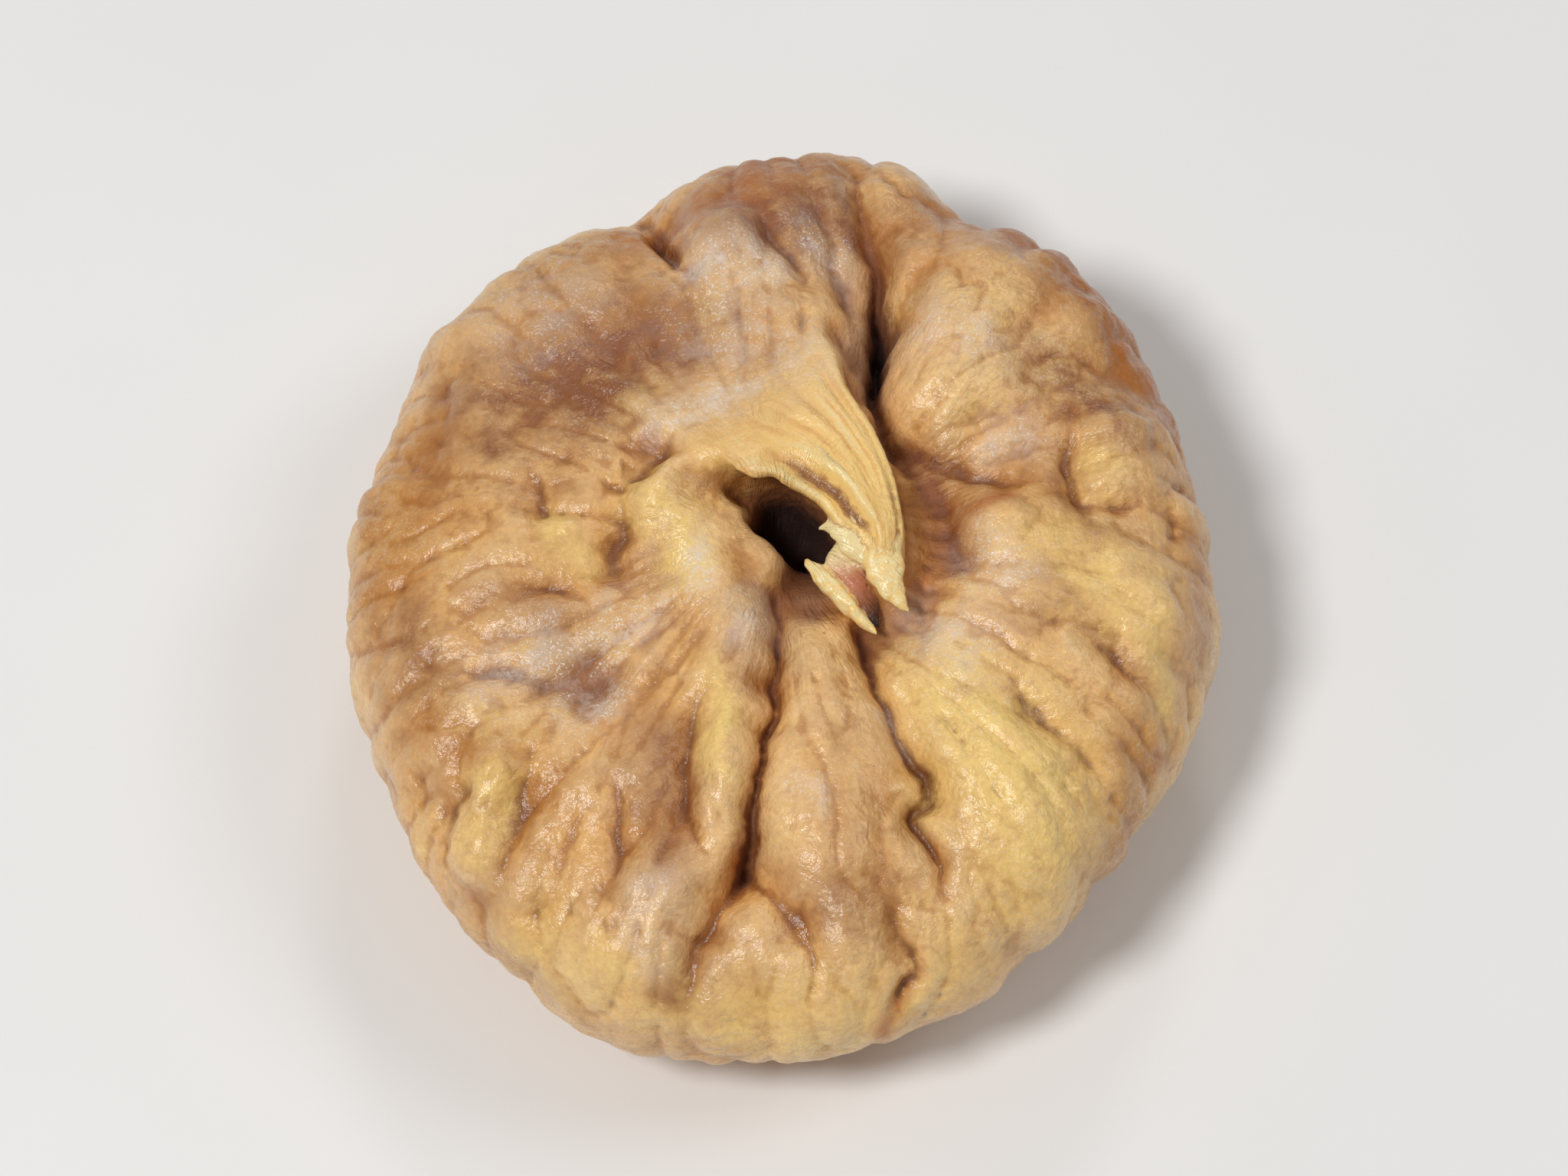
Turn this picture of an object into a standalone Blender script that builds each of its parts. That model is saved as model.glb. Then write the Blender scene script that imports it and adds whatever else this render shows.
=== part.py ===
"""A dried fig of the pale pressed kind, lying on its eye with its bent neck across the top.

Units are metres and +Z is up. The origin is on the surface that the fruit lies on, under its
middle. X runs across the fruit and Y along its longer way. The fruit is one solid: the pressed
body, the neck that is folded over the pit in the face, the torn lips at the neck's end, and the
scales round the eye underneath.
"""

import math

import bmesh
import bpy
import numpy as np
from mathutils import Vector, noise

MM = 0.001

# The pressed body
HALF_WIDTH = 22.5 * MM
HALF_LENGTH = 25.4 * MM
FACE_RISE = 8.6 * MM
EYE_DROP = 8.4 * MM
FLAT_SPOT_SINK = 0.25 * MM
FULLNESS = 0.8
MIDDLE_HEIGHT = EYE_DROP - FLAT_SPOT_SINK
# Brings the middle of the finished fruit's box over the origin
TO_BOX_MIDDLE = (-0.13 * MM, 0.17 * MM)
# The outline's swells and flats: azimuth in degrees, rise in mm, spread in degrees
OUTLINE_SWELLS = (
    (-112, 1.1, 24),
    (-44, -1.2, 20),
    (-20, 0.3, 10),
    (64, -0.9, 5),
    (75, 0.6, 10),
    (112, -1.2, 9),
    (155, -0.5, 14),
)

# Past the rim the skin is drawn as if unrolled from this share of the outline's radius
RIM_SHARE = 0.9
RIM_POLAR = math.asin(RIM_SHARE ** (1 / FULLNESS))
RIM_UNROLL = 2.53

# How a fold's section falls off: a crease has a narrow bottom, a swell a round top, a pit steep walls
CREASE = 1.0
SWELL = 2.0
PIT = 3.5
CREASE_ROUNDING = 0.25

# The folds of the face. Each point is (x, y, rise, half width) in mm; a negative rise is pressed in
FACE_FOLDS = (
    # the broad dish of the face and the pit under the neck
    (SWELL, ((-0.7, -0.6, -1.7, 12.0), (-0.3, -1.4, -1.7, 12.0))),
    (
        PIT,
        (
            (-2.0, 1.9, -1.8, 0.9),
            (-0.7, 1.4, -4.6, 1.4),
            (0.8, 0.6, -5.2, 1.6),
            (1.7, -1.0, -3.0, 1.7),
            (1.7, -3.6, -1.4, 1.9),
        ),
    ),
    # the pit's left lip and the creases that bound it
    (SWELL, ((-6.2, 1.4, 1.4, 2.3), (-4.6, -1.2, 1.3, 2.3), (-3.0, -5.0, 0.9, 2.0))),
    (
        CREASE,
        (
            (-9.6, 2.8, 0.0, 0.8),
            (-8.0, 2.6, -0.7, 0.9),
            (-6.6, 3.9, -0.9, 0.9),
            (-5.0, 5.2, -0.5, 0.8),
            (-3.4, 6.2, 0.0, 0.7),
        ),
    ),
    (CREASE, ((-8.0, 2.0, -0.5, 0.8), (-8.7, -1.4, -1.1, 0.9), (-9.4, -3.8, 0.0, 0.8))),
    # the long left cleft, which opens near the rim and forks
    (
        CREASE,
        (
            (-0.3, -3.6, -1.2, 0.7),
            (-0.2, -7.0, -1.6, 0.6),
            (-0.4, -10.0, -1.6, 0.6),
            (-0.9, -13.0, -1.7, 0.7),
            (-1.5, -16.2, -1.9, 0.8),
            (-1.8, -18.6, -1.9, 0.9),
            (-2.8, -20.4, -1.4, 0.9),
            (-3.9, -22.2, -1.3, 0.9),
            (-4.9, -24.2, -0.8, 0.9),
            (-5.6, -26.0, 0.0, 0.8),
        ),
    ),
    (
        CREASE,
        (
            (-1.6, -19.2, -1.3, 0.8),
            (-0.2, -20.9, -0.8, 0.8),
            (0.9, -22.2, -0.6, 0.7),
            (1.5, -24.0, 0.0, 0.6),
        ),
    ),
    # the ridge left of it, with its own crease
    (
        SWELL,
        (
            (-3.6, -8.0, 0.2, 1.2),
            (-3.0, -12.0, 0.8, 1.3),
            (-3.2, -16.0, 0.8, 1.3),
            (-3.6, -18.5, 0.2, 1.2),
        ),
    ),
    (
        CREASE,
        (
            (-3.9, -8.6, 0.0, 0.6),
            (-4.5, -12.0, -0.9, 0.8),
            (-4.9, -14.6, -1.0, 0.8),
            (-4.3, -17.4, -0.7, 0.7),
            (-3.2, -18.9, 0.0, 0.6),
        ),
    ),
    # the right cleft, which zigzags, and its lower end on the rim
    (
        CREASE,
        (
            (4.3, -5.6, -1.2, 0.9),
            (4.7, -8.2, -1.4, 0.8),
            (5.4, -10.6, -1.3, 0.7),
            (6.6, -13.1, -1.4, 0.8),
            (7.7, -14.9, -1.5, 0.8),
            (6.9, -16.1, -1.4, 0.7),
            (7.7, -18.2, -1.2, 0.7),
            (8.6, -20.4, 0.0, 0.6),
        ),
    ),
    (
        CREASE,
        (
            (5.8, -19.6, 0.0, 0.6),
            (5.6, -21.6, -0.8, 0.7),
            (6.8, -23.4, -1.0, 0.7),
            (6.2, -25.0, -1.1, 0.8),
            (5.2, -27.4, 0.0, 0.8),
        ),
    ),
    # the tongue between the two clefts and the big swell right of them
    (SWELL, ((2.2, -8.0, 0.3, 2.2), (2.8, -13.0, 0.8, 3.0), (2.4, -18.0, 0.7, 3.0))),
    (SWELL, ((9.6, -10.0, 0.8, 3.4), (12.0, -15.2, 1.3, 4.4))),
    (
        CREASE,
        (
            (10.2, -7.4, 0.0, 0.7),
            (12.3, -9.7, -0.9, 0.8),
            (13.4, -10.9, -0.9, 0.8),
            (16.2, -12.8, 0.0, 0.7),
        ),
    ),
    # the deep crease between the neck's root and the big lobe at the far right
    (
        CREASE,
        (
            (3.2, 26.0, 0.0, 1.0),
            (4.2, 22.0, -1.1, 1.1),
            (5.0, 18.6, -2.0, 1.1),
            (5.4, 15.4, -3.0, 1.1),
            (5.5, 12.4, -3.5, 1.1),
            (5.2, 9.0, -2.6, 0.8),
            (5.5, 6.4, -1.6, 0.6),
            (6.4, 3.9, -0.6, 0.6),
        ),
    ),
    (SWELL, ((3.6, 15.0, -0.9, 1.5), (3.9, 11.4, -1.2, 1.5), (4.4, 8.4, -0.6, 1.2))),
    # the groove that runs on along the neck's right side to its torn end
    (
        SWELL,
        (
            (5.8, 6.6, -0.4, 0.8),
            (7.0, 3.6, -0.7, 1.0),
            (8.0, 0.8, -1.0, 1.2),
            (8.0, -2.2, -1.0, 1.3),
            (6.8, -5.0, -1.1, 1.6),
            (4.6, -6.4, -0.9, 1.5),
        ),
    ),
    (SWELL, ((9.2, 14.6, 1.3, 3.4), (9.0, 9.4, 1.3, 3.2))),
    (SWELL, ((13.4, 15.2, 0.7, 3.4), (14.2, 14.0, 0.7, 3.4))),
    (
        CREASE,
        (
            (5.9, 5.6, -0.8, 0.9),
            (8.6, 4.2, -1.2, 1.1),
            (11.6, 3.0, -1.0, 1.0),
            (14.8, 3.6, 0.0, 0.8),
        ),
    ),
    (
        CREASE,
        (
            (8.4, 3.4, -0.4, 0.8),
            (8.9, 1.0, -1.0, 0.9),
            (9.3, -1.4, -0.9, 0.9),
            (10.6, -3.6, 0.0, 0.8),
        ),
    ),
    (SWELL, ((11.4, 0.6, 1.0, 2.0), (12.6, -3.0, 0.7, 2.4))),
    (
        CREASE,
        (
            (15.0, 8.0, 0.0, 0.7),
            (15.0, 4.4, -1.0, 0.8),
            (15.4, 1.6, -1.0, 0.8),
            (17.4, 1.8, -0.6, 0.8),
            (19.4, 2.8, 0.0, 0.7),
        ),
    ),
    (SWELL, ((17.2, 6.2, 0.9, 2.3), (18.0, 4.6, 0.8, 2.3))),
    (CREASE, ((14.6, -5.2, 0.0, 0.8), (16.8, -7.0, -0.9, 0.9), (18.8, -8.6, 0.0, 0.8))),
    (SWELL, ((18.2, -3.2, 0.7, 2.4), (18.4, -4.8, 0.7, 2.4))),
    # the rolled edge that sweeps in from the left over the pit
    (
        SWELL,
        (
            (-7.2, 0.8, 0.2, 1.0),
            (-5.8, 2.6, 0.7, 1.0),
            (-3.8, 3.6, 1.0, 1.1),
            (-1.8, 3.5, 0.8, 0.9),
            (0.0, 2.8, 0.0, 0.7),
        ),
    ),
    # the folds that gather from the far rim into the neck
    (
        CREASE,
        (
            (-7.6, 22.4, -0.9, 1.0),
            (-6.6, 19.4, -1.5, 1.0),
            (-5.6, 16.8, -1.2, 0.9),
            (-4.2, 14.4, 0.0, 0.8),
        ),
    ),
    (SWELL, ((-2.4, 17.6, 0.9, 2.4), (-1.2, 12.6, 0.8, 3.0))),
    (
        CREASE,
        (
            (-2.8, 22.0, 0.0, 0.8),
            (-1.2, 18.6, -0.9, 0.9),
            (0.8, 15.8, -0.9, 0.9),
            (2.0, 12.8, 0.0, 0.8),
        ),
    ),
    (
        CREASE,
        (
            (0.8, 22.4, 0.0, 0.8),
            (2.2, 19.0, -0.9, 0.8),
            (3.2, 15.6, -0.9, 0.8),
            (3.4, 12.4, 0.0, 0.7),
        ),
    ),
    # the broad brown hollow at the far left and the dark dimple at the left
    (SWELL, ((-10.6, 9.8, -0.9, 4.4), (-8.6, 11.4, -0.9, 4.4))),
    (SWELL, ((-10.4, -8.0, -1.2, 2.2), (-9.6, -9.2, -1.2, 2.2))),
    (CREASE, ((-14.6, -3.0, 0.0, 0.6), (-11.6, -3.4, -0.6, 0.7), (-9.4, -4.4, 0.0, 0.6))),
    (CREASE, ((-13.0, 4.4, 0.0, 0.7), (-12.4, 1.4, -0.7, 0.8), (-12.8, -1.4, 0.0, 0.7))),
    (CREASE, ((-19.4, -6.4, 0.0, 0.8), (-15.8, -7.6, -0.8, 0.9), (-12.2, -8.6, -0.9, 0.9))),
    # the lumps on the near left rim
    (SWELL, ((-14.2, -13.6, 0.9, 1.5), (-15.6, -17.4, 0.7, 1.5))),
    (CREASE, ((-12.2, -12.0, 0.0, 0.7), (-13.2, -15.2, -0.9, 0.8), (-14.0, -19.2, 0.0, 0.7))),
    (CREASE, ((-15.0, -12.4, 0.0, 0.7), (-16.6, -15.0, -0.9, 0.8), (-17.6, -18.4, 0.0, 0.7))),
    (CREASE, ((-8.6, -13.4, 0.0, 0.7), (-8.0, -17.0, -0.8, 0.8), (-8.6, -21.6, 0.0, 0.7))),
    (SWELL, ((-6.0, -20.4, 0.7, 1.9), (-6.4, -21.6, 0.7, 1.9))),
)

# The neck's line over the face, from its root to its torn end: x, y, rise, half width and crown in mm
NECK = (
    (-4.2, 13.0, 0.1, 8.4, 0.0),
    (-2.4, 9.0, 0.35, 6.0, 0.1),
    (-0.2, 6.4, 0.7, 5.0, 0.3),
    (1.8, 4.7, 0.9, 3.1, 0.5),
    (2.9, 3.4, 0.95, 2.6, 0.6),
    (3.9, 1.9, 0.95, 2.1, 0.8),
    (4.5, 0.5, 0.9, 1.8, 0.9),
    (5.0, -0.8, 0.7, 1.45, 1.0),
    (5.3, -2.9, 0.2, 1.05, 1.0),
)
# Shares of the neck's length where it has risen out of the face, and where its end begins to close
NECK_RISEN = 0.5
NECK_CLOSING = 0.94
NECK_EDGE = (0.8, 1.1)
# How far the neck's left edge leans out over the pit and the wall under it draws back, as shares
# of its half width, with the places across between which they come in, and the shares along it
NECK_OVERHANG, NECK_UNDERCUT = 0.45, 0.35
OVERHANG_ACROSS = (0.3, 0.82)
UNDERCUT_ACROSS = (0.84, 0.96)
UNDERCUT_END = (1.1, 1.7)
OVERHANG_RANGE = (0.4, 0.56, 0.84, 0.96)
# The fibres along the neck: their rise, how many noise cells lie across and along it
FIBRE_RISE = 0.22 * MM
FIBRES_ACROSS, FIBRES_ALONG = 3.4, 1.3
FIBRE_RANGE = (0.3, 0.55)
# The neck's own folds. Each point is its share along the neck, its place across, rise and half width
NECK_FOLDS = (
    # the thin raised rib, the brown groove left of it and the rolled edge over the pit
    ((0.5, -0.5, 0.0, 0.1), (0.64, -0.44, 0.4, 0.1), (0.85, -0.27, 0.45, 0.1), (1.0, -0.1, 0.0, 0.12)),
    ((0.48, -0.62, 0.0, 0.13), (0.63, -0.58, -0.4, 0.13), (0.84, -0.52, -0.4, 0.13), (0.97, -0.4, 0.0, 0.1)),
    ((0.36, -0.74, 0.0, 0.1), (0.5, -0.74, 0.35, 0.1), (0.84, -0.72, 0.35, 0.1), (0.96, -0.7, 0.0, 0.1)),
    # the slit by the right edge
    ((0.7, 0.7, 0.0, 0.09), (0.84, 0.64, -0.3, 0.09), (0.95, 0.56, -0.3, 0.1), (1.04, 0.5, 0.0, 0.1)),
)
# Torn lips at the neck's end and the frayed scrap beside them: x, y, height over the middle
# plane, half width and half thickness in mm. They are the left lip, the reddish inside, the right
# lip that the neck ends in, and the scrap
LIPS = (
    (
        (1.2, -1.9, 7.5, 0.45, 0.5),
        (2.0, -3.0, 7.4, 0.5, 0.6),
        (3.0, -4.1, 7.2, 0.45, 0.6),
        (4.0, -5.2, 7.0, 0.4, 0.5),
        (5.0, -6.1, 6.8, 0.25, 0.4),
    ),
    (
        (4.4, -0.6, 7.6, 1.2, 0.6),
        (3.4, -2.0, 7.4, 1.2, 0.5),
        (3.7, -3.6, 6.9, 1.0, 0.45),
        (4.6, -4.9, 6.5, 0.8, 0.4),
        (5.1, -5.5, 6.3, 0.5, 0.35),
    ),
    (
        (5.0, -0.6, 8.3, 1.4, 0.8),
        (5.1, -2.4, 8.2, 1.1, 0.6),
        (5.6, -3.9, 7.9, 0.8, 0.45),
        (6.6, -5.3, 7.5, 0.25, 0.3),
    ),
    (
        (1.7, -0.7, 8.0, 0.3, 0.3),
        (2.6, -0.6, 8.3, 0.6, 0.4),
        (3.4, -1.2, 8.4, 0.8, 0.4),
        (4.0, -2.2, 8.2, 0.6, 0.35),
        (4.4, -2.8, 8.0, 0.3, 0.3),
    ),
)

# The wrinkles that run outward from the pit, and over the rim to the eye: rise, wrinkles in a
# radian, wrinkles in a radian lengthways, and the angles from +Z between which they fade in and out
WRINKLES = (
    (0.34 * MM, 9.0, 1.3, (42, 66, 128, 158)),
    (0.26 * MM, 7.5, 2.6, (6, 20, 60, 90)),
)
# The uneven skin of the whole fruit. Lumps are round and crumples have narrow valleys: rise, size
LUMPS = ((0.7 * MM, 9.0 * MM), (0.3 * MM, 4.0 * MM))
CRUMPLES = ((0.08 * MM, 3.1 * MM),)
NOISE_OFFSET = Vector((3.7, 1.9, 8.3))

# The eye underneath: a shallow hollow with a hole, ringed by two rounds of scales
EYE_X, EYE_Y = 0.6 * MM, -0.5 * MM
EYE_FOLDS = (
    (PIT, ((0.5, -0.5, -1.3, 3.4), (0.7, -0.5, -1.3, 3.4))),
    (SWELL, ((0.5, -0.5, -1.8, 0.8), (0.7, -0.5, -1.8, 0.8))),
)
# Count, distance from the eye's middle, length and width of one scale, and its middle's height
EYE_ROUNDS = ((8, 2.2 * MM, 2.6 * MM, 2.1 * MM, 1.0 * MM), (5, 1.25 * MM, 1.7 * MM, 1.4 * MM, 0.85 * MM))
SCALE_THICKNESS = 0.6 * MM
SCALE_TURN = math.radians(14)
SCALE_DIP = 0.3 * MM

# How finely the shapes are made
BODY_SUBDIVISIONS = 8
VOXEL = 0.25 * MM
SMOOTHING_PASSES = 4
TRIANGLES_KEPT = 0.044
LIP_RINGS, LIP_SIDES = 20, 16
SCALE_RINGS, SCALE_SIDES = 6, 10

SKIN_COLOUR = (0.56, 0.33, 0.13, 1.0)
SKIN_ROUGHNESS = 0.42


def clear_scene():
    for obj in list(bpy.data.objects):
        bpy.data.objects.remove(obj)


def skin_material():
    material = bpy.data.materials.new("fig_skin")
    material.use_nodes = True
    shader = material.node_tree.nodes["Principled BSDF"]
    shader.inputs["Base Color"].default_value = SKIN_COLOUR
    shader.inputs["Roughness"].default_value = SKIN_ROUGHNESS
    shader.inputs["Metallic"].default_value = 0.0
    return material


def points_of(mesh):
    points = np.empty(len(mesh.vertices) * 3)
    mesh.vertices.foreach_get("co", points)
    return points.reshape(-1, 3)


def move_points(mesh, points):
    mesh.vertices.foreach_set("co", points.astype(np.float32).ravel())
    mesh.update()


def smooth_line(points, steps=6):
    """A curve through hand-placed points, by Catmull-Rom, with every column carried along."""
    points = np.asarray(points, float)
    ends = np.vstack([2 * points[0] - points[1], points, 2 * points[-1] - points[-2]])
    share = np.linspace(0, 1, steps, endpoint=False)[:, None]
    pieces = []
    for a, b, c, d in zip(ends, ends[1:], ends[2:], ends[3:]):
        pieces.append(
            b
            + 0.5 * share * (c - a)
            + share**2 * (a - 2.5 * b + 2 * c - 0.5 * d)
            + 0.5 * share**3 * (3 * b - a - 3 * c + d)
        )
    return np.vstack([*pieces, points[-1:]])


def eased(values, start, end):
    """0 up to start, 1 from end, and a soft step between them."""
    share = np.clip((values - start) / (end - start), 0, 1)
    return share * share * (3 - 2 * share)


def fade(values, start, full, fall, end):
    """0 before start, 1 from full to fall, and 0 again from end."""
    return eased(values, start, full) * (1 - eased(values, fall, end))


def noise_at(points, size):
    """Smooth noise from -1 to 1 at each point, in cells of the given size."""
    return np.array([noise.noise(Vector(point) + NOISE_OFFSET) for point in points / size])


def outline_radius(azimuth):
    """The radius of the oval outline at each azimuth, with its swells and flats."""
    across = np.cos(azimuth) / HALF_WIDTH
    along = np.sin(azimuth) / HALF_LENGTH
    radius = 1 / np.hypot(across, along)
    for centre, rise, spread in OUTLINE_SWELLS:
        turn = np.degrees(azimuth) - centre
        turn = (turn + 180) % 360 - 180
        radius = radius + rise * MM * np.exp(-((turn / spread) ** 2))
    return radius


def pressed_body(azimuth, polar):
    """The smooth pressed fruit: its points and outward directions, by azimuth and angle from +Z."""
    radius = outline_radius(azimuth)
    reach = radius * np.sin(polar) ** FULLNESS
    rise = np.where(polar < math.pi / 2, FACE_RISE, EYE_DROP)
    level = np.sign(np.cos(polar)) * np.abs(np.cos(polar)) ** FULLNESS
    points = np.stack([reach * np.cos(azimuth), reach * np.sin(azimuth), rise * level], axis=1)
    outward = points / np.stack([radius**2, radius**2, rise**2], axis=1)
    return points, outward / np.linalg.norm(outward, axis=1)[:, None]


def drawn_flat(azimuth, polar):
    """Where the skin lies on a flat drawing of the face: true to plan, and unrolled past the rim."""
    share = np.where(
        polar < RIM_POLAR,
        np.sin(polar) ** FULLNESS,
        RIM_SHARE + (polar - RIM_POLAR) / RIM_UNROLL,
    )
    reach = outline_radius(azimuth) * share
    return np.stack([reach * np.cos(azimuth), reach * np.sin(azimuth)], axis=1)


def near_line(flat, line, margin):
    """The skin points near a line, how far each is from it, and the line's columns and its
    heading where each is closest to it."""
    low, high = line[:, :2].min(0) - margin, line[:, :2].max(0) + margin
    near = np.flatnonzero(((flat > low) & (flat < high)).all(1))
    rows = np.arange(len(near))
    stretch = np.diff(line, axis=0)
    plan = stretch[:, :2]
    offset = flat[near, None] - line[None, :-1, :2]
    share = np.clip((offset * plan).sum(2) / (plan**2).sum(1), 0, 1)
    gap = np.linalg.norm(offset - share[:, :, None] * plan, axis=2)
    step = gap.argmin(1)
    columns = line[step] + share[rows, step, None] * stretch[step]
    heading = plan / np.linalg.norm(plan, axis=1)[:, None]
    return near, gap[rows, step], columns, heading[step]


def fold(flat, section, points):
    """How far one fold raises each point of the skin, given where it lies on the flat drawing."""
    line = smooth_line(points) * MM
    rises = np.zeros(len(flat))
    near, distance, columns, _ = near_line(flat, line, 3.5 * line[:, 3].max())
    distance = distance / columns[:, 3]
    if section == CREASE:
        distance = np.hypot(distance, CREASE_ROUNDING) - CREASE_ROUNDING
    rises[near] = columns[:, 2] * np.exp(-(distance**section))
    return rises


def valleys(values):
    """Noise turned into round tops with a narrow valley wherever it changes sign."""
    return 2.2 * np.sqrt(np.abs(values) + 0.01) - 1


def wrinkles(azimuth, polar):
    """Rounded ribs with narrow valleys between them, which run from the face to the eye."""
    rises = np.zeros(len(azimuth))
    for rise, around, lengthways, angles in WRINKLES:
        ring = np.stack([np.cos(azimuth), np.sin(azimuth)], axis=1) * around
        cells = np.column_stack([ring, polar * lengthways])
        rises += rise * valleys(noise_at(cells, 1)) * fade(polar, *np.radians(angles))
    return rises


def uneven(points):
    rises = np.zeros(len(points))
    for rise, size in LUMPS:
        rises += rise * noise_at(points, size)
    for rise, size in CRUMPLES:
        rises += rise * valleys(noise_at(points, size))
    return rises


def along_neck(flat):
    """The skin points by the neck. For each, its share of the neck's length, its place across in
    half widths, which is negative on the pit's side, the neck's columns there and its heading."""
    line = smooth_line(NECK) * MM
    steps = np.linalg.norm(np.diff(line[:, :2], axis=0), axis=1)
    travelled = np.concatenate([[0], np.cumsum(steps)]) / steps.sum()
    near, _, columns, heading = near_line(flat, np.column_stack([line, travelled]), line[:, 3].max())
    offset = flat[near] - columns[:, :2]
    across = (heading[:, 0] * offset[:, 1] - heading[:, 1] * offset[:, 0]) / columns[:, 3]
    share = columns[:, 5] + (offset * heading).sum(1) / steps.sum()
    return near, share, across, columns, heading


def neck_relief(share, across):
    """How far the neck's own folds raise it."""
    rises = np.zeros(len(share))
    for line in NECK_FOLDS:
        shares, *columns = np.transpose(line)
        middle, rise, half_width = (np.interp(share, shares, column) for column in columns)
        rises += rise * MM * np.exp(-(((across - middle) / half_width) ** 2))
    return rises


def neck_fold(flat, rises):
    """Raises the neck out of the face, and returns how far its edge leans out over the pit."""
    near, share, across, columns, heading = along_neck(flat)
    rise, half_width, crown = columns[:, 2], columns[:, 3], columns[:, 4]
    inside = 1 - eased(np.abs(across), *NECK_EDGE)
    inside *= eased(share, 0, NECK_RISEN) * (1 - eased(share, NECK_CLOSING, 1.0 + (1 - NECK_CLOSING)))
    cells = np.stack([across * FIBRES_ACROSS, share * FIBRES_ALONG, np.zeros(len(near))], axis=1)
    fibres = FIBRE_RISE * valleys(noise_at(cells, 1)) * eased(share, *FIBRE_RANGE)
    top = rise - crown * across**2 + fibres + neck_relief(share, across)
    rises[near] += inside * (top - rises[near])
    lean = NECK_OVERHANG * eased(-across, *OVERHANG_ACROSS)
    lean -= (NECK_OVERHANG + NECK_UNDERCUT) * eased(-across, *UNDERCUT_ACROSS)
    lean += NECK_UNDERCUT * eased(-across, *UNDERCUT_END)
    lean *= half_width * fade(share, *OVERHANG_RANGE)
    shift = np.zeros((len(flat), 3))
    shift[near, 0] = heading[:, 1] * lean
    shift[near, 1] = -heading[:, 0] * lean
    return shift


def sphere(name, sides=0, rings=0):
    """A unit sphere: even triangles, or rings and sides where a count of them is given."""
    shaper = bmesh.new()
    if sides:
        bmesh.ops.create_uvsphere(shaper, u_segments=sides, v_segments=rings, radius=1)
    else:
        bmesh.ops.create_icosphere(shaper, subdivisions=BODY_SUBDIVISIONS, radius=1)
    mesh = bpy.data.meshes.new(name)
    shaper.to_mesh(mesh)
    shaper.free()
    around = points_of(mesh)
    azimuth = np.arctan2(around[:, 1], around[:, 0])
    polar = np.arccos(np.clip(around[:, 2] / np.linalg.norm(around, axis=1), -1, 1))
    return mesh, azimuth, polar


def fruit_body():
    """The pressed body, drawn from a sphere: outline, folds of the face, ribs and the eye's hollow."""
    mesh, azimuth, polar = sphere("dried_fig")
    points, outward = pressed_body(azimuth, polar)
    flat = drawn_flat(azimuth, polar)
    rises = wrinkles(azimuth, polar) + uneven(points)
    for section, line in FACE_FOLDS:
        rises += fold(flat, section, line)
    underneath = np.where(polar[:, None] > math.pi / 2, points[:, :2], np.inf)
    for section, line in EYE_FOLDS:
        rises += fold(underneath, section, line)
    shift = neck_fold(flat, rises)
    move_points(mesh, points + outward * rises[:, None] + shift + (*TO_BOX_MIDDLE, MIDDLE_HEIGHT))
    return mesh


def limb(name, line, sides, rings):
    """A sphere drawn out along a line of x, y, height, half width and half thickness."""
    mesh, turn, polar = sphere(name, sides, rings)
    line = smooth_line(line)
    steps = np.linalg.norm(np.diff(line[:, :3], axis=0), axis=1)
    travelled = np.concatenate([[0], np.cumsum(steps)]) / steps.sum()
    headings = np.gradient(line[:, :3], travelled, axis=0)
    along = polar / math.pi
    middle = np.stack([np.interp(along, travelled, line[:, i]) for i in range(3)], axis=1)
    heading = np.stack([np.interp(along, travelled, headings[:, i]) for i in range(3)], axis=1)
    heading /= np.linalg.norm(heading, axis=1)[:, None]
    side = np.cross(heading, (0, 0, 1))
    side /= np.linalg.norm(side, axis=1)[:, None]
    up = np.cross(side, heading)
    closing = np.sin(polar) ** 0.5
    wide = np.interp(along, travelled, line[:, 3]) * closing * np.cos(turn)
    thick = np.interp(along, travelled, line[:, 4]) * closing * np.sin(turn)
    move_points(mesh, middle + side * wide[:, None] + up * thick[:, None])
    return mesh


def torn_lips():
    """The lips, from lines written in mm over the middle plane."""
    lips = []
    for number, line in enumerate(LIPS):
        line = np.asarray(line) * MM + (*TO_BOX_MIDDLE, MIDDLE_HEIGHT, 0, 0)
        lips.append(limb(f"lip_{number}", line, LIP_SIDES, LIP_RINGS))
    return lips


def eye_scales():
    """Two rounds of scales that lean over each other and dip down towards the eye's hole."""
    scales = []
    eye = np.array([EYE_X + TO_BOX_MIDDLE[0], EYE_Y + TO_BOX_MIDDLE[1], 0])
    for number, (count, distance, length, width, height) in enumerate(EYE_ROUNDS):
        for place in range(count):
            turn = 2 * math.pi * (place + 0.5 * number) / count
            middle = eye + (distance * math.cos(turn), distance * math.sin(turn), height)
            turn += SCALE_TURN
            half = np.array([-0.5 * length * math.cos(turn), -0.5 * length * math.sin(turn), -SCALE_DIP])
            outer, tip = middle - half, middle + half
            thick = 0.5 * SCALE_THICKNESS
            line = (
                (*outer, 0.5 * width, thick),
                (*middle, 0.5 * width, thick),
                (*tip, 0.3 * width, thick),
            )
            scales.append(limb(f"scale_{number}_{place}", line, SCALE_SIDES, SCALE_RINGS))
    return scales


def grown_together(meshes):
    """One mesh that holds all the given ones, each with its faces turned outward."""
    shaper = bmesh.new()
    for mesh in meshes:
        shaper.from_mesh(mesh)
    bmesh.ops.recalc_face_normals(shaper, faces=shaper.faces)
    shaper.to_mesh(meshes[0])
    shaper.free()
    for mesh in meshes[1:]:
        bpy.data.meshes.remove(mesh)
    return meshes[0]


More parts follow.
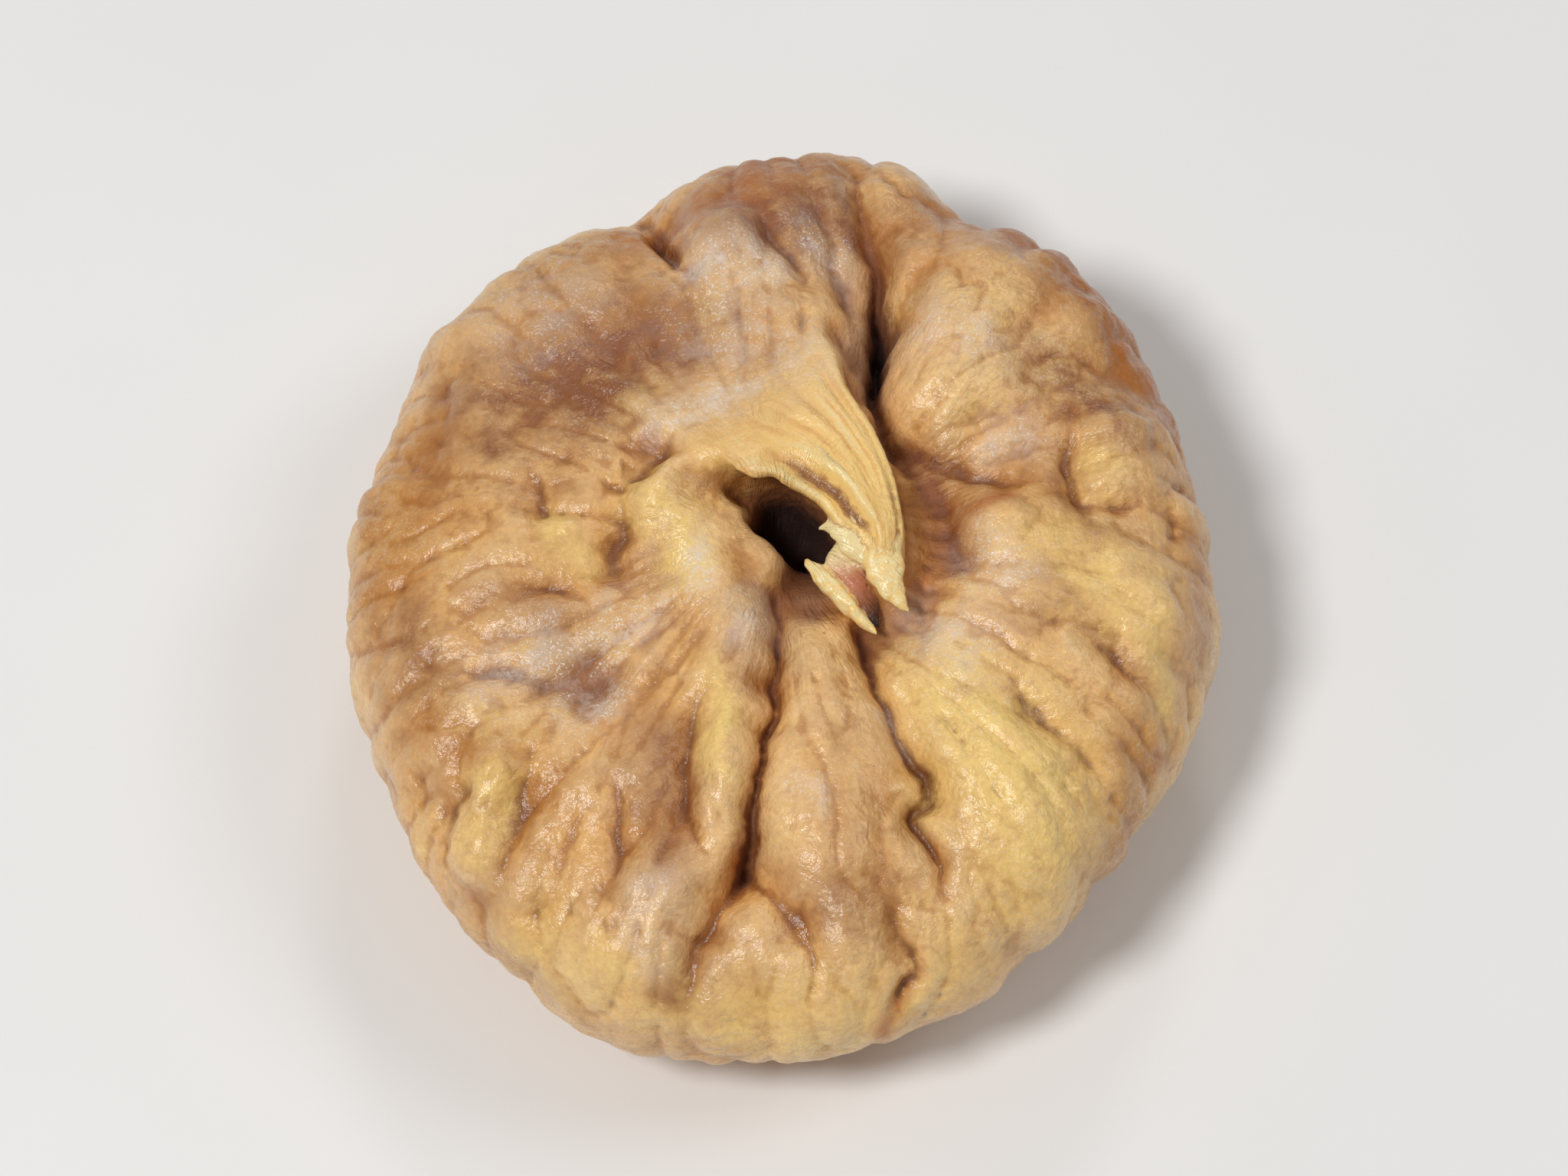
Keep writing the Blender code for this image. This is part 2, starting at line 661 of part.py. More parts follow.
def surface_block():
    """A block whose top is the surface that the fruit lies on. It cuts the small flat spot."""
    shaper = bmesh.new()
    bmesh.ops.create_cube(shaper, size=4 * HALF_LENGTH)
    bmesh.ops.translate(shaper, verts=shaper.verts, vec=(0, 0, -2 * HALF_LENGTH))
    mesh = bpy.data.meshes.new("surface")
    shaper.to_mesh(mesh)
    shaper.free()
    return mesh


def placed(mesh, collection, is_helper=False):
    obj = bpy.data.objects.new(mesh.name, mesh)
    collection.objects.link(obj)
    if is_helper:
        obj.hide_render = True
        obj.display_type = "WIRE"
    return obj


def build():
    clear_scene()
    fig_parts = bpy.data.collections.new("dried_fig")
    eye = bpy.data.collections.new("eye_scales")
    cutters = bpy.data.collections.new("cutters")
    for collection in (fig_parts, eye, cutters):
        bpy.context.scene.collection.children.link(collection)

    fig = placed(grown_together([fruit_body(), *torn_lips()]), fig_parts)
    fig.data.materials.append(skin_material())
    surface = placed(surface_block(), cutters, is_helper=True)
    for scale in eye_scales():
        placed(grown_together([scale]), eye, is_helper=True)

    join = fig.modifiers.new("one_skin", "REMESH")
    join.mode = "VOXEL"
    join.voxel_size = VOXEL
    join.use_smooth_shade = True
    soften = fig.modifiers.new("soften", "SMOOTH")
    soften.iterations = SMOOTHING_PASSES
    thin = fig.modifiers.new("fewer_faces", "DECIMATE")
    thin.ratio = TRIANGLES_KEPT
    rest = fig.modifiers.new("flat_spot", "BOOLEAN")
    rest.operation = "DIFFERENCE"
    rest.object = surface
    close = fig.modifiers.new("closed_eye", "BOOLEAN")
    close.operation = "UNION"
    close.operand_type = "COLLECTION"
    close.collection = eye


build()
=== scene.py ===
"""The looks of a dried fig of the pale pressed kind, lying on its eye.

The fig's skin is made again from the same folds as the solid that it stands for, only finer, with
small wrinkles, fibres on the neck and the marks that its colours follow.
"""

import math

import bmesh
import bpy
import numpy as np
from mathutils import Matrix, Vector, kdtree, noise


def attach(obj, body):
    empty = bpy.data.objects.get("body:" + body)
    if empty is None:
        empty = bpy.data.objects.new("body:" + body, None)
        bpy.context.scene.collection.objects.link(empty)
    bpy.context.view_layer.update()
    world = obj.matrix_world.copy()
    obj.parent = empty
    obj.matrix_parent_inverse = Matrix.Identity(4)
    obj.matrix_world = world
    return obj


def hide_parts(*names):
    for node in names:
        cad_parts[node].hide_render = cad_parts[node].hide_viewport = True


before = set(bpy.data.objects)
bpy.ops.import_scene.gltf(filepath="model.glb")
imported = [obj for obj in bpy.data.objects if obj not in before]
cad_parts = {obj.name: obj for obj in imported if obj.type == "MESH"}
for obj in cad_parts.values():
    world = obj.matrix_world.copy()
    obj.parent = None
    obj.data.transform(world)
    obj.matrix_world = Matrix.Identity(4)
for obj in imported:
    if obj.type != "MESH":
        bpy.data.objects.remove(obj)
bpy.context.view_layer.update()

MM = 0.001

# The pressed body
HALF_WIDTH = 22.5 * MM
HALF_LENGTH = 25.4 * MM
FACE_RISE = 8.6 * MM
EYE_DROP = 8.4 * MM
FLAT_SPOT_SINK = 0.25 * MM
FULLNESS = 0.8
MIDDLE_HEIGHT = EYE_DROP - FLAT_SPOT_SINK
# Brings the middle of the finished fruit's box over the origin
TO_BOX_MIDDLE = (-0.13 * MM, 0.17 * MM)
# The outline's swells and flats: azimuth in degrees, rise in mm, spread in degrees
OUTLINE_SWELLS = (
    (-112, 1.1, 24), (-44, -1.2, 20), (-20, 0.3, 10), (64, -0.9, 5), (75, 0.6, 10), (112, -1.2, 9),
    (155, -0.5, 14),
)

# Past the rim the skin is drawn as if unrolled from this share of the outline's radius
RIM_SHARE = 0.9
RIM_POLAR = math.asin(RIM_SHARE ** (1 / FULLNESS))
RIM_UNROLL = 2.53

# How a fold's section falls off, as a power: a crease has a narrow bottom, a swell a round top and a
# pit steep walls
CREASE = 1.0
SWELL = 2.0
PIT = 3.5
CREASE_ROUNDING = 0.25
# How many half widths from its line a fold still counts
FOLD_REACH = 3.5

# The folds of the face. Each point is (x, y, rise, half width) in mm; a negative rise is pressed in
FACE_FOLDS = (
    # the broad dish of the face and the pit under the neck
    (SWELL, ((-0.7, -0.6, -1.7, 12), (-0.3, -1.4, -1.7, 12))),
    (PIT, (
        (-2, 1.9, -1.8, 0.9), (-0.7, 1.4, -4.6, 1.4), (0.8, 0.6, -5.2, 1.6), (1.7, -1, -3, 1.7),
        (1.7, -3.6, -1.4, 1.9),
    )),
    # the pit's left lip and the creases that bound it
    (SWELL, ((-6.2, 1.4, 1.4, 2.3), (-4.6, -1.2, 1.3, 2.3), (-3, -5, 0.9, 2))),
    (CREASE, (
        (-9.6, 2.8, 0, 0.8), (-8, 2.6, -0.7, 0.9), (-6.6, 3.9, -0.9, 0.9), (-5, 5.2, -0.5, 0.8),
        (-3.4, 6.2, 0, 0.7),
    )),
    (CREASE, ((-8, 2, -0.5, 0.8), (-8.7, -1.4, -1.1, 0.9), (-9.4, -3.8, 0, 0.8))),
    # the long left cleft, which opens near the rim and forks
    (CREASE, (
        (-0.3, -3.6, -1.2, 0.7), (-0.2, -7, -1.6, 0.6), (-0.4, -10, -1.6, 0.6),
        (-0.9, -13, -1.7, 0.7), (-1.5, -16.2, -1.9, 0.8), (-1.8, -18.6, -1.9, 0.9),
        (-2.8, -20.4, -1.4, 0.9), (-3.9, -22.2, -1.3, 0.9), (-4.9, -24.2, -0.8, 0.9),
        (-5.6, -26, 0, 0.8),
    )),
    (CREASE, (
        (-1.6, -19.2, -1.3, 0.8), (-0.2, -20.9, -0.8, 0.8), (0.9, -22.2, -0.6, 0.7),
        (1.5, -24, 0, 0.6),
    )),
    # the ridge left of it, with its own crease
    (SWELL, (
        (-3.6, -8, 0.2, 1.2), (-3, -12, 0.8, 1.3), (-3.2, -16, 0.8, 1.3),
        (-3.6, -18.5, 0.2, 1.2),
    )),
    (CREASE, (
        (-3.9, -8.6, 0, 0.6), (-4.5, -12, -0.9, 0.8), (-4.9, -14.6, -1, 0.8),
        (-4.3, -17.4, -0.7, 0.7), (-3.2, -18.9, 0, 0.6),
    )),
    # the right cleft, which zigzags, and its lower end on the rim
    (CREASE, (
        (4.3, -5.6, -1.2, 0.9), (4.7, -8.2, -1.4, 0.8), (5.4, -10.6, -1.3, 0.7),
        (6.6, -13.1, -1.4, 0.8), (7.7, -14.9, -1.5, 0.8), (6.9, -16.1, -1.4, 0.7),
        (7.7, -18.2, -1.2, 0.7), (8.6, -20.4, 0, 0.6),
    )),
    (CREASE, (
        (5.8, -19.6, 0, 0.6), (5.6, -21.6, -0.8, 0.7), (6.8, -23.4, -1, 0.7),
        (6.2, -25, -1.1, 0.8), (5.2, -27.4, 0, 0.8),
    )),
    # the tongue between the two clefts and the big swell right of them
    (SWELL, ((2.2, -8, 0.3, 2.2), (2.8, -13, 0.8, 3), (2.4, -18, 0.7, 3))),
    (SWELL, ((9.6, -10, 0.8, 3.4), (12, -15.2, 1.3, 4.4))),
    (CREASE, (
        (10.2, -7.4, 0, 0.7), (12.3, -9.7, -0.9, 0.8), (13.4, -10.9, -0.9, 0.8),
        (16.2, -12.8, 0, 0.7),
    )),
    # the deep crease between the neck's root and the big lobe at the far right
    (CREASE, (
        (3.2, 26, 0, 1), (4.2, 22, -1.1, 1.1), (5, 18.6, -2, 1.1), (5.4, 15.4, -3, 1.1),
        (5.5, 12.4, -3.5, 1.1), (5.2, 9, -2.6, 0.8), (5.5, 6.4, -1.6, 0.6), (6.4, 3.9, -0.6, 0.6),
    )),
    (SWELL, ((3.6, 15, -0.9, 1.5), (3.9, 11.4, -1.2, 1.5), (4.4, 8.4, -0.6, 1.2))),
    # the groove that runs on along the neck's right side to its torn end
    (SWELL, (
        (5.8, 6.6, -0.4, 0.8), (7, 3.6, -0.7, 1), (8, 0.8, -1, 1.2), (8, -2.2, -1, 1.3),
        (6.8, -5, -1.1, 1.6), (4.6, -6.4, -0.9, 1.5),
    )),
    (SWELL, ((9.2, 14.6, 1.3, 3.4), (9, 9.4, 1.3, 3.2))),
    (SWELL, ((13.4, 15.2, 0.7, 3.4), (14.2, 14, 0.7, 3.4))),
    (CREASE, (
        (5.9, 5.6, -0.8, 0.9), (8.6, 4.2, -1.2, 1.1), (11.6, 3, -1, 1), (14.8, 3.6, 0, 0.8),
    )),
    (CREASE, (
        (8.4, 3.4, -0.4, 0.8), (8.9, 1, -1, 0.9), (9.3, -1.4, -0.9, 0.9), (10.6, -3.6, 0, 0.8),
    )),
    (SWELL, ((11.4, 0.6, 1, 2), (12.6, -3, 0.7, 2.4))),
    (CREASE, (
        (15, 8, 0, 0.7), (15, 4.4, -1, 0.8), (15.4, 1.6, -1, 0.8), (17.4, 1.8, -0.6, 0.8),
        (19.4, 2.8, 0, 0.7),
    )),
    (SWELL, ((17.2, 6.2, 0.9, 2.3), (18, 4.6, 0.8, 2.3))),
    (CREASE, ((14.6, -5.2, 0, 0.8), (16.8, -7, -0.9, 0.9), (18.8, -8.6, 0, 0.8))),
    (SWELL, ((18.2, -3.2, 0.7, 2.4), (18.4, -4.8, 0.7, 2.4))),
    # the rolled edge that sweeps in from the left over the pit
    (SWELL, (
        (-7.2, 0.8, 0.2, 1), (-5.8, 2.6, 0.7, 1), (-3.8, 3.6, 1, 1.1), (-1.8, 3.5, 0.8, 0.9),
        (0, 2.8, 0, 0.7),
    )),
    # the folds that gather from the far rim into the neck
    (CREASE, (
        (-7.6, 22.4, -0.9, 1), (-6.6, 19.4, -1.5, 1), (-5.6, 16.8, -1.2, 0.9),
        (-4.2, 14.4, 0, 0.8),
    )),
    (SWELL, ((-2.4, 17.6, 0.9, 2.4), (-1.2, 12.6, 0.8, 3))),
    (CREASE, (
        (-2.8, 22, 0, 0.8), (-1.2, 18.6, -0.9, 0.9), (0.8, 15.8, -0.9, 0.9), (2, 12.8, 0, 0.8),
    )),
    (CREASE, (
        (0.8, 22.4, 0, 0.8), (2.2, 19, -0.9, 0.8), (3.2, 15.6, -0.9, 0.8), (3.4, 12.4, 0, 0.7),
    )),
    # the broad brown hollow at the far left and the dark dimple at the left
    (SWELL, ((-10.6, 9.8, -0.9, 4.4), (-8.6, 11.4, -0.9, 4.4))),
    (SWELL, ((-10.4, -8, -1.2, 2.2), (-9.6, -9.2, -1.2, 2.2))),
    (CREASE, ((-14.6, -3, 0, 0.6), (-11.6, -3.4, -0.6, 0.7), (-9.4, -4.4, 0, 0.6))),
    (CREASE, ((-13, 4.4, 0, 0.7), (-12.4, 1.4, -0.7, 0.8), (-12.8, -1.4, 0, 0.7))),
    (CREASE, ((-19.4, -6.4, 0, 0.8), (-15.8, -7.6, -0.8, 0.9), (-12.2, -8.6, -0.9, 0.9))),
    # the lumps on the near left rim
    (SWELL, ((-14.2, -13.6, 0.9, 1.5), (-15.6, -17.4, 0.7, 1.5))),
    (CREASE, ((-12.2, -12, 0, 0.7), (-13.2, -15.2, -0.9, 0.8), (-14, -19.2, 0, 0.7))),
    (CREASE, ((-15, -12.4, 0, 0.7), (-16.6, -15, -0.9, 0.8), (-17.6, -18.4, 0, 0.7))),
    (CREASE, ((-8.6, -13.4, 0, 0.7), (-8, -17, -0.8, 0.8), (-8.6, -21.6, 0, 0.7))),
    (SWELL, ((-6, -20.4, 0.7, 1.9), (-6.4, -21.6, 0.7, 1.9))),
)

# The neck's line over the face, from its root to its torn end: x, y, rise, half width and crown in mm
NECK = (
    (-4.2, 13, 0.1, 8.4, 0), (-2.4, 9, 0.35, 6, 0.1), (-0.2, 6.4, 0.7, 5, 0.3),
    (1.8, 4.7, 0.9, 3.1, 0.5), (2.9, 3.4, 0.95, 2.6, 0.6), (3.9, 1.9, 0.95, 2.1, 0.8),
    (4.5, 0.5, 0.9, 1.8, 0.9), (5, -0.8, 0.7, 1.45, 1), (5.3, -2.9, 0.2, 1.05, 1),
)
# Shares of the neck's length where it has risen out of the face, and where its end begins to close
NECK_RISEN = 0.5
NECK_CLOSING = 0.94
NECK_CLOSED = 1 + (1 - NECK_CLOSING)
NECK_EDGE = (0.8, 1.1)
# How far the neck's left edge leans out over the pit and the wall under it draws back, as shares
# of its half width, with the places across between which they come in, and the shares along it
NECK_OVERHANG, NECK_UNDERCUT = 0.45, 0.35
OVERHANG_ACROSS = (0.3, 0.82)
UNDERCUT_ACROSS = (0.84, 0.96)
UNDERCUT_END = (1.1, 1.7)
OVERHANG_RANGE = (0.4, 0.56, 0.84, 0.96)
# The fibres along the neck: their rise, how many noise cells lie across and along it
FIBRE_RISE = 0.22 * MM
FIBRES_ACROSS, FIBRES_ALONG = 3.4, 1.3
FIBRE_RANGE = (0.3, 0.55)
# The finer fibres between them, and how many lie in one
FINE_FIBRE_RISE, FINE_FIBRES = 0.05 * MM, 2.6
# The neck's own folds. Each point is its share along the neck, its place across, rise and half width
NECK_FOLDS = (
    # the thin raised rib, the brown groove left of it and the rolled edge over the pit
    ((0.5, -0.5, 0.0, 0.1), (0.64, -0.44, 0.4, 0.1), (0.85, -0.27, 0.45, 0.1), (1.0, -0.1, 0.0, 0.12)),
    ((0.48, -0.62, 0.0, 0.13), (0.63, -0.58, -0.4, 0.13), (0.84, -0.52, -0.4, 0.13), (0.97, -0.4, 0.0, 0.1)),
    ((0.36, -0.74, 0.0, 0.1), (0.5, -0.74, 0.35, 0.1), (0.84, -0.72, 0.35, 0.1), (0.96, -0.7, 0.0, 0.1)),
    # the slit by the right edge
    ((0.7, 0.7, 0.0, 0.09), (0.84, 0.64, -0.3, 0.09), (0.95, 0.56, -0.3, 0.1), (1.04, 0.5, 0.0, 0.1)),
)
# Torn lips at the neck's end and the frayed scrap beside them: x, y, height over the middle
# plane, half width and half thickness in mm. They are the left lip, the reddish inside, the right
# lip that the neck ends in, and the scrap
LIPS = (
    (
        (1.2, -1.9, 7.5, 0.45, 0.5), (2, -3, 7.4, 0.5, 0.6), (3, -4.1, 7.2, 0.45, 0.6),
        (4, -5.2, 7, 0.4, 0.5), (5, -6.1, 6.8, 0.25, 0.4),
    ),
    (
        (4.4, -0.6, 7.6, 1.2, 0.6), (3.4, -2, 7.4, 1.2, 0.5), (3.7, -3.6, 6.9, 1, 0.45),
        (4.6, -4.9, 6.5, 0.8, 0.4), (5.1, -5.5, 6.3, 0.5, 0.35),
    ),
    (
        (5, -0.6, 8.3, 1.4, 0.8), (5.1, -2.4, 8.2, 1.1, 0.6), (5.6, -3.9, 7.9, 0.8, 0.45),
        (6.6, -5.3, 7.5, 0.25, 0.3),
    ),
    (
        (1.7, -0.7, 8, 0.3, 0.3), (2.6, -0.6, 8.3, 0.6, 0.4), (3.4, -1.2, 8.4, 0.8, 0.4),
        (4, -2.2, 8.2, 0.6, 0.35), (4.4, -2.8, 8, 0.3, 0.3),
    ),
)

# How sharply a lip or a scale closes at its ends, as a power
LIMB_CLOSING = 0.5
# Each lip's mark, and the share of its length over which the mark comes in
LIP_MARKS = (("lip", 0.0, 0.1), ("core", 0.0, 0.1), ("lip", 0.0, 0.2), ("scrap", 0.0, 0.1))
# How far the lips' edges fray, and the size of the frays
LIP_FRAY, LIP_FRAY_SIZE = 0.16 * MM, 0.55 * MM

# The wrinkles that run outward from the pit, and over the rim to the eye: rise, wrinkles in a
# radian, wrinkles in a radian lengthways, and the angles from +Z between which they fade in and out
WRINKLES = (
    (0.34 * MM, 9.0, 1.3, (42, 66, 128, 158)),
    (0.26 * MM, 7.5, 2.6, (6, 20, 60, 90)),
)
# The values of smooth noise turned into round tops with narrow valleys
VALLEY_TOP, VALLEY_ROUNDING = 2.2, 0.01
# Fine wrinkles, which come and go over the skin, with the size of their patches last
FINE_WRINKLES = (
    (0.1 * MM, 16.0, 4.6, (8, 24, 130, 165), 7.0 * MM),
    (0.045 * MM, 32.0, 9.0, (8, 24, 130, 165), 5.0 * MM),
)
# How far the fine wrinkles bend, in noise cells, and the noise values between which they come in
FINE_WRINKLE_BENDS = 0.8
FINE_WRINKLE_RANGE = (-0.35, 0.35)
# The uneven skin of the whole fruit. Lumps are round and crumples have narrow valleys: rise, size
LUMPS = ((0.7 * MM, 9.0 * MM), (0.3 * MM, 4.0 * MM))
CRUMPLES = ((0.08 * MM, 3.1 * MM),)
# Finer crumples, which come and go over the skin: rise, size, and the size of their patches
FINE_CRUMPLES = ((0.05 * MM, 1.7 * MM, 6.0 * MM), (0.025 * MM, 0.85 * MM, 4.0 * MM))
FINE_CRUMPLE_RANGE = (-0.3, 0.4)
# A deep crease's narrow bottom: how much deeper it is, how much narrower, as a power, and the
# depths in mm over which creases come to have one
SLIT_DEPTH, SLIT_POWER = 0.5, 3
SLIT_RANGE = (0.9, 1.8)
# How much narrower than its crease a line of painted shade along its bottom is, as a power
LINE_POWER = 5
# How far noise bends the folds' lines and the fine crumples, and the size of the bends
WANDER, WANDER_TURNS = 0.4 * MM, 1.6 * MM
NOISE_OFFSET = Vector((3.7, 1.9, 8.3))
# Without a fixed seed, noise vectors would differ from run to run
NOISE_SEED = 1

# The eye underneath: a shallow hollow with a hole, ringed by two rounds of scales
EYE_X, EYE_Y = 0.6 * MM, -0.5 * MM
EYE_FOLDS = (
    (PIT, ((0.5, -0.5, -1.3, 3.4), (0.7, -0.5, -1.3, 3.4))),
    (SWELL, ((0.5, -0.5, -1.8, 0.8), (0.7, -0.5, -1.8, 0.8))),
)
# Count, distance from the eye's middle, length and width of one scale, and its middle's height
EYE_ROUNDS = ((8, 2.2 * MM, 2.6 * MM, 2.1 * MM, 1.0 * MM), (5, 1.25 * MM, 1.7 * MM, 1.4 * MM, 0.85 * MM))
SCALE_THICKNESS = 0.6 * MM
SCALE_TURN = math.radians(14)
SCALE_DIP = 0.3 * MM
# The width of a scale's tip, as a share of the scale's half
SCALE_TIP = 0.3
# The eye's colours: how far they reach from its middle, and how sharply they end, as a power
EYE_REACH, EYE_EDGE = 3.4 * MM, 6

# How finely the skin is made
BODY_SUBDIVISIONS = 9
VOXEL = 0.15 * MM
SMOOTHING_PASSES = 2
TRIANGLES = 190_000
LIP_RINGS, LIP_SIDES = 40, 32
SCALE_RINGS, SCALE_SIDES = 20, 20
# Fine relief that is added along the normals of the finished skin
FINE_RELIEF_RISE, FINE_RELIEF_SIZE = 0.032 * MM, 0.75 * MM
# How often the skin is smoothed to find its fine and its broad hollows, where the colours paint shade
FINE_PASSES, BROAD_PASSES = 6, 60

# Where the neck's straw colour ends across it, starts and ends along it, and ends by depth in mm
STRAW_ACROSS = (0.9, 1.08)
STRAW_START = (0.08, 0.7)
STRAW_END = (1.0, 1.15)
STRAW_DEPTHS = (0.4, 1.4)

# Where the colours lie on the flat drawing of the face. Each point is (x, y, strength, half width),
# in mm apart from the strength
PATCHES = {
    "bloom": (
        ((-4.2, 15.2, 1, 1.8), (-2.4, 15.8, 1, 1.8), (-0.4, 15.6, 0.8, 1.4)),
        ((1.8, 18.2, 0.7, 1.2), (2.8, 16.6, 0.7, 1.2)),
        ((-6, 5.6, 0.6, 1.1), (-4.2, 6.4, 0.9, 1.3), (-1.6, 7.6, 0.7, 1.8)),
        ((-3, 11, 0.5, 3.2), (1, 9.4, 0.5, 2.6)), ((7.6, 11.4, 0.5, 1.8), (9.6, 10.4, 0.5, 1.8)),
        ((11, 5.4, 0.6, 1.2), (12.8, 5.8, 0.6, 1.2)), ((10.4, -2.2, 0.9, 1.3), (11.6, -3, 0.9, 1.3)),
        ((8.2, -5.6, 0.7, 1.4), (9.8, -7.4, 0.7, 1.4)), ((-7.2, -4.2, 0.8, 1.8), (-8.6, -5.8, 0.9, 1.8)),
        ((-13.4, -7.6, 0.6, 2.2), (-11, -7, 0.6, 2)), ((-10.2, -10.4, 0.8, 1.3), (-8.6, -9.6, 0.8, 1.3)),
        ((-4.4, -2, 0.9, 0.9), (-3.8, -3.2, 0.9, 0.9)), ((-1.2, -4.6, 0.6, 0.9), (-1.6, -6.4, 0.6, 0.9)),
        ((5.2, -10.6, 0.6, 0.7), (5.8, -12.4, 0.6, 0.7)), ((0.8, -14.6, 0.5, 0.8), (1.8, -15.2, 0.5, 0.8)),
        ((-13.6, 12.6, 0.4, 2.4), (-12, 13.6, 0.4, 2.4)), ((-6, -20, 0.5, 1.2), (-6.6, -22.4, 0.5, 1.2)),
    ),
    "brown": (
        ((-14, 8, 0.8, 4), (-10.6, 9.6, 1.1, 4.6), (-7, 11.2, 0.9, 3.8)),
        ((-2, 19.8, 0.9, 3), (1, 19.4, 1, 3.2), (3.8, 18.6, 1, 2.2)),
        ((-10.4, -7.6, 1.2, 1.5), (-9.8, -9, 1.2, 1.5)), ((-13.4, -4.4, 0.5, 2.2), (-12, -5.6, 0.5, 2.2)),
        ((7.6, 4.2, 0.8, 1.2), (8.8, 1.6, 1, 1.1), (9, -1.2, 0.8, 1)),
        ((5.4, 5.6, 0.8, 0.8), (7.6, 4.6, 0.8, 1), (10.4, 3.2, 0.5, 1)),
        ((14.2, 9.6, 0.6, 1.3), (16.6, 7.8, 0.9, 1.5), (18, 5.6, 0.5, 1.2)),
        ((-5.6, -12, 0.6, 1.6), (-6, -15, 0.6, 1.8), (-5.6, -18, 0.5, 1.6)),
        ((2.6, -20.4, 0.5, 1.8), (4.6, -20.8, 0.5, 1.6)),
        ((-3.4, -22.4, 0.6, 1.3), (-4.8, -24.6, 0.7, 1.3)), ((13.2, -3.4, 0.3, 1.2), (15, -4.2, 0.3, 1.2)),
        ((14.8, 3.4, 0.6, 0.9), (15.4, 0.4, 0.6, 0.9)), ((-19, -5, 0.6, 1.6), (-18, -8, 0.6, 1.6)),
        ((-15.2, 5.2, 0.9, 0.8), (-14.4, 4.4, 0.9, 0.8)),
    ),
    "yellow": (
        ((-7, 1.6, 0.7, 1.5), (-6, 0, 1, 1.7), (-4.6, -2.4, 0.9, 1.4)),
        ((-3.6, -8, 0.6, 0.8), (-3.1, -11, 1.2, 0.9), (-3.2, -14, 1, 0.9)),
        ((8.2, -9.6, 0.9, 2.4), (10.6, -13, 1.4, 3.8), (12.6, -16.4, 1.1, 3.4)),
        ((12.6, -10.4, 0.7, 2), (14.6, -12, 0.7, 2)), ((13.4, -0.8, 0.6, 2.2), (16.4, -3, 0.8, 2.6)),
        ((-11.4, 0.2, 0.7, 1.3), (-10.8, -1.4, 0.7, 1.3)), ((16.2, 4.8, 0.7, 1.2), (17.4, 3.6, 0.7, 1.2)),
        ((18.4, -4.6, 0.8, 1.2), (19.6, -8.4, 0.8, 1.2)),
        ((-6, -25.6, 0.6, 2.2), (3.4, -27, 0.7, 2.6), (9.6, -23, 0.6, 2.4)),
        ((-14.2, -13.8, 0.8, 1.1), (-15.4, -17, 0.8, 1.1)), ((-12.4, -22, 0.6, 2.6), (-9, -24, 0.6, 2.4)),
    ),
    "gold": (
        ((8.6, 21, 0.8, 2.2), (13.4, 18.4, 1.2, 2.8), (17.4, 14.4, 1.4, 2.8), (20.6, 9.4, 1.2, 2.4)),
        ((-2, 23.4, 0.8, 1.6), (3, 24, 0.8, 1.6)),
        ((-21, 3, 0.6, 2.6), (-20.4, -2, 0.6, 2.6), (-18.6, 6.4, 0.6, 2.2)),
        ((-11.8, 17.6, 0.6, 2), (-8.6, 19.6, 0.7, 2)), ((-17.4, -10.6, 0.6, 2.2), (-12.4, -14.6, 0.6, 2)),
        ((19.6, -11, 0.7, 2), (16.8, -17, 0.7, 2)), ((21.6, 1, 0.5, 1.6), (21.8, -4, 0.5, 1.6)),
    ),
    "orange": (
        ((10.2, 0.6, 1.2, 0.8), (11.6, 1.6, 1.2, 0.8)),
        ((6.6, -23.6, 0.7, 0.6), (6, -25.2, 1.2, 0.9), (5.2, -27, 1, 0.8)),
        ((-1.6, -17, 1.2, 0.6), (-1.9, -18.8, 1.2, 0.7), (-2.8, -20.2, 0.6, 0.6)),
        ((6.8, 19.4, 0.4, 1.8), (8, 16.4, 0.4, 2)),
        ((13.4, 19, 0.3, 2), (17.4, 15, 0.4, 1.8), (20.6, 9.6, 0.3, 1.6)),
        ((6.6, -2.2, 0.8, 0.5), (6.8, -3.4, 0.8, 0.5)), ((-7.4, 18.8, 0.6, 1.6), (-1, 21.6, 0.6, 2)),
    ),
    "grey": (
        ((3.6, 15.8, 0.8, 0.9), (4.2, 12.4, 1.1, 1), (4.4, 9.4, 0.8, 0.8)),
        ((1, -2.4, 0.8, 0.9), (1.8, -4.2, 0.8, 0.9)), ((7.6, -3.6, 0.7, 0.9), (6.8, -5.4, 0.8, 1)),
        ((-0.8, -3.6, 0.7, 0.7), (-0.6, -6.6, 0.6, 0.7)),
    ),
}
# How far the patches' edges wander, and the size of their turns
PATCH_WANDER, PATCH_TURNS = 1.1 * MM, 2.6 * MM
# How far away a second noise is taken, to be unlike the first
NOISE_SHIFT = 0.1

# The sizes of the noises in the skin's colours and relief
WIDE_SIZE = 9 * MM
BROAD_SIZE = 6 * MM
GREY_SIZE = 4 * MM
MEDIUM_SIZE = 1.6 * MM
LEATHER_SIZE = 0.42 * MM
SMALL_SIZE = 0.35 * MM
PORE_SIZE = 0.22 * MM
GRAIN_SIZE = 0.13 * MM
LEATHER_RELIEF = 0.12 * MM
# Noise cells of the straw's fibres across half the neck, and along it
STRAW_CELLS = {"across": 7.0, "along": 2.5}
# The two nets of thin lines: cells in a radian around the fig, and in a radian lengthways
COARSE_NET, FINE_NET = (13.0, 5.0), (30.0, 14.0)
# How far the nets' lines bend, in cells, and the sizes of the bends and of the patches without lines
NET_BENDS, NET_BEND_SIZE, NET_PATCH_SIZE = 1.4, 1.5 * MM, 5 * MM
# The most that the bloom covers
BLOOM_MOST = 0.85
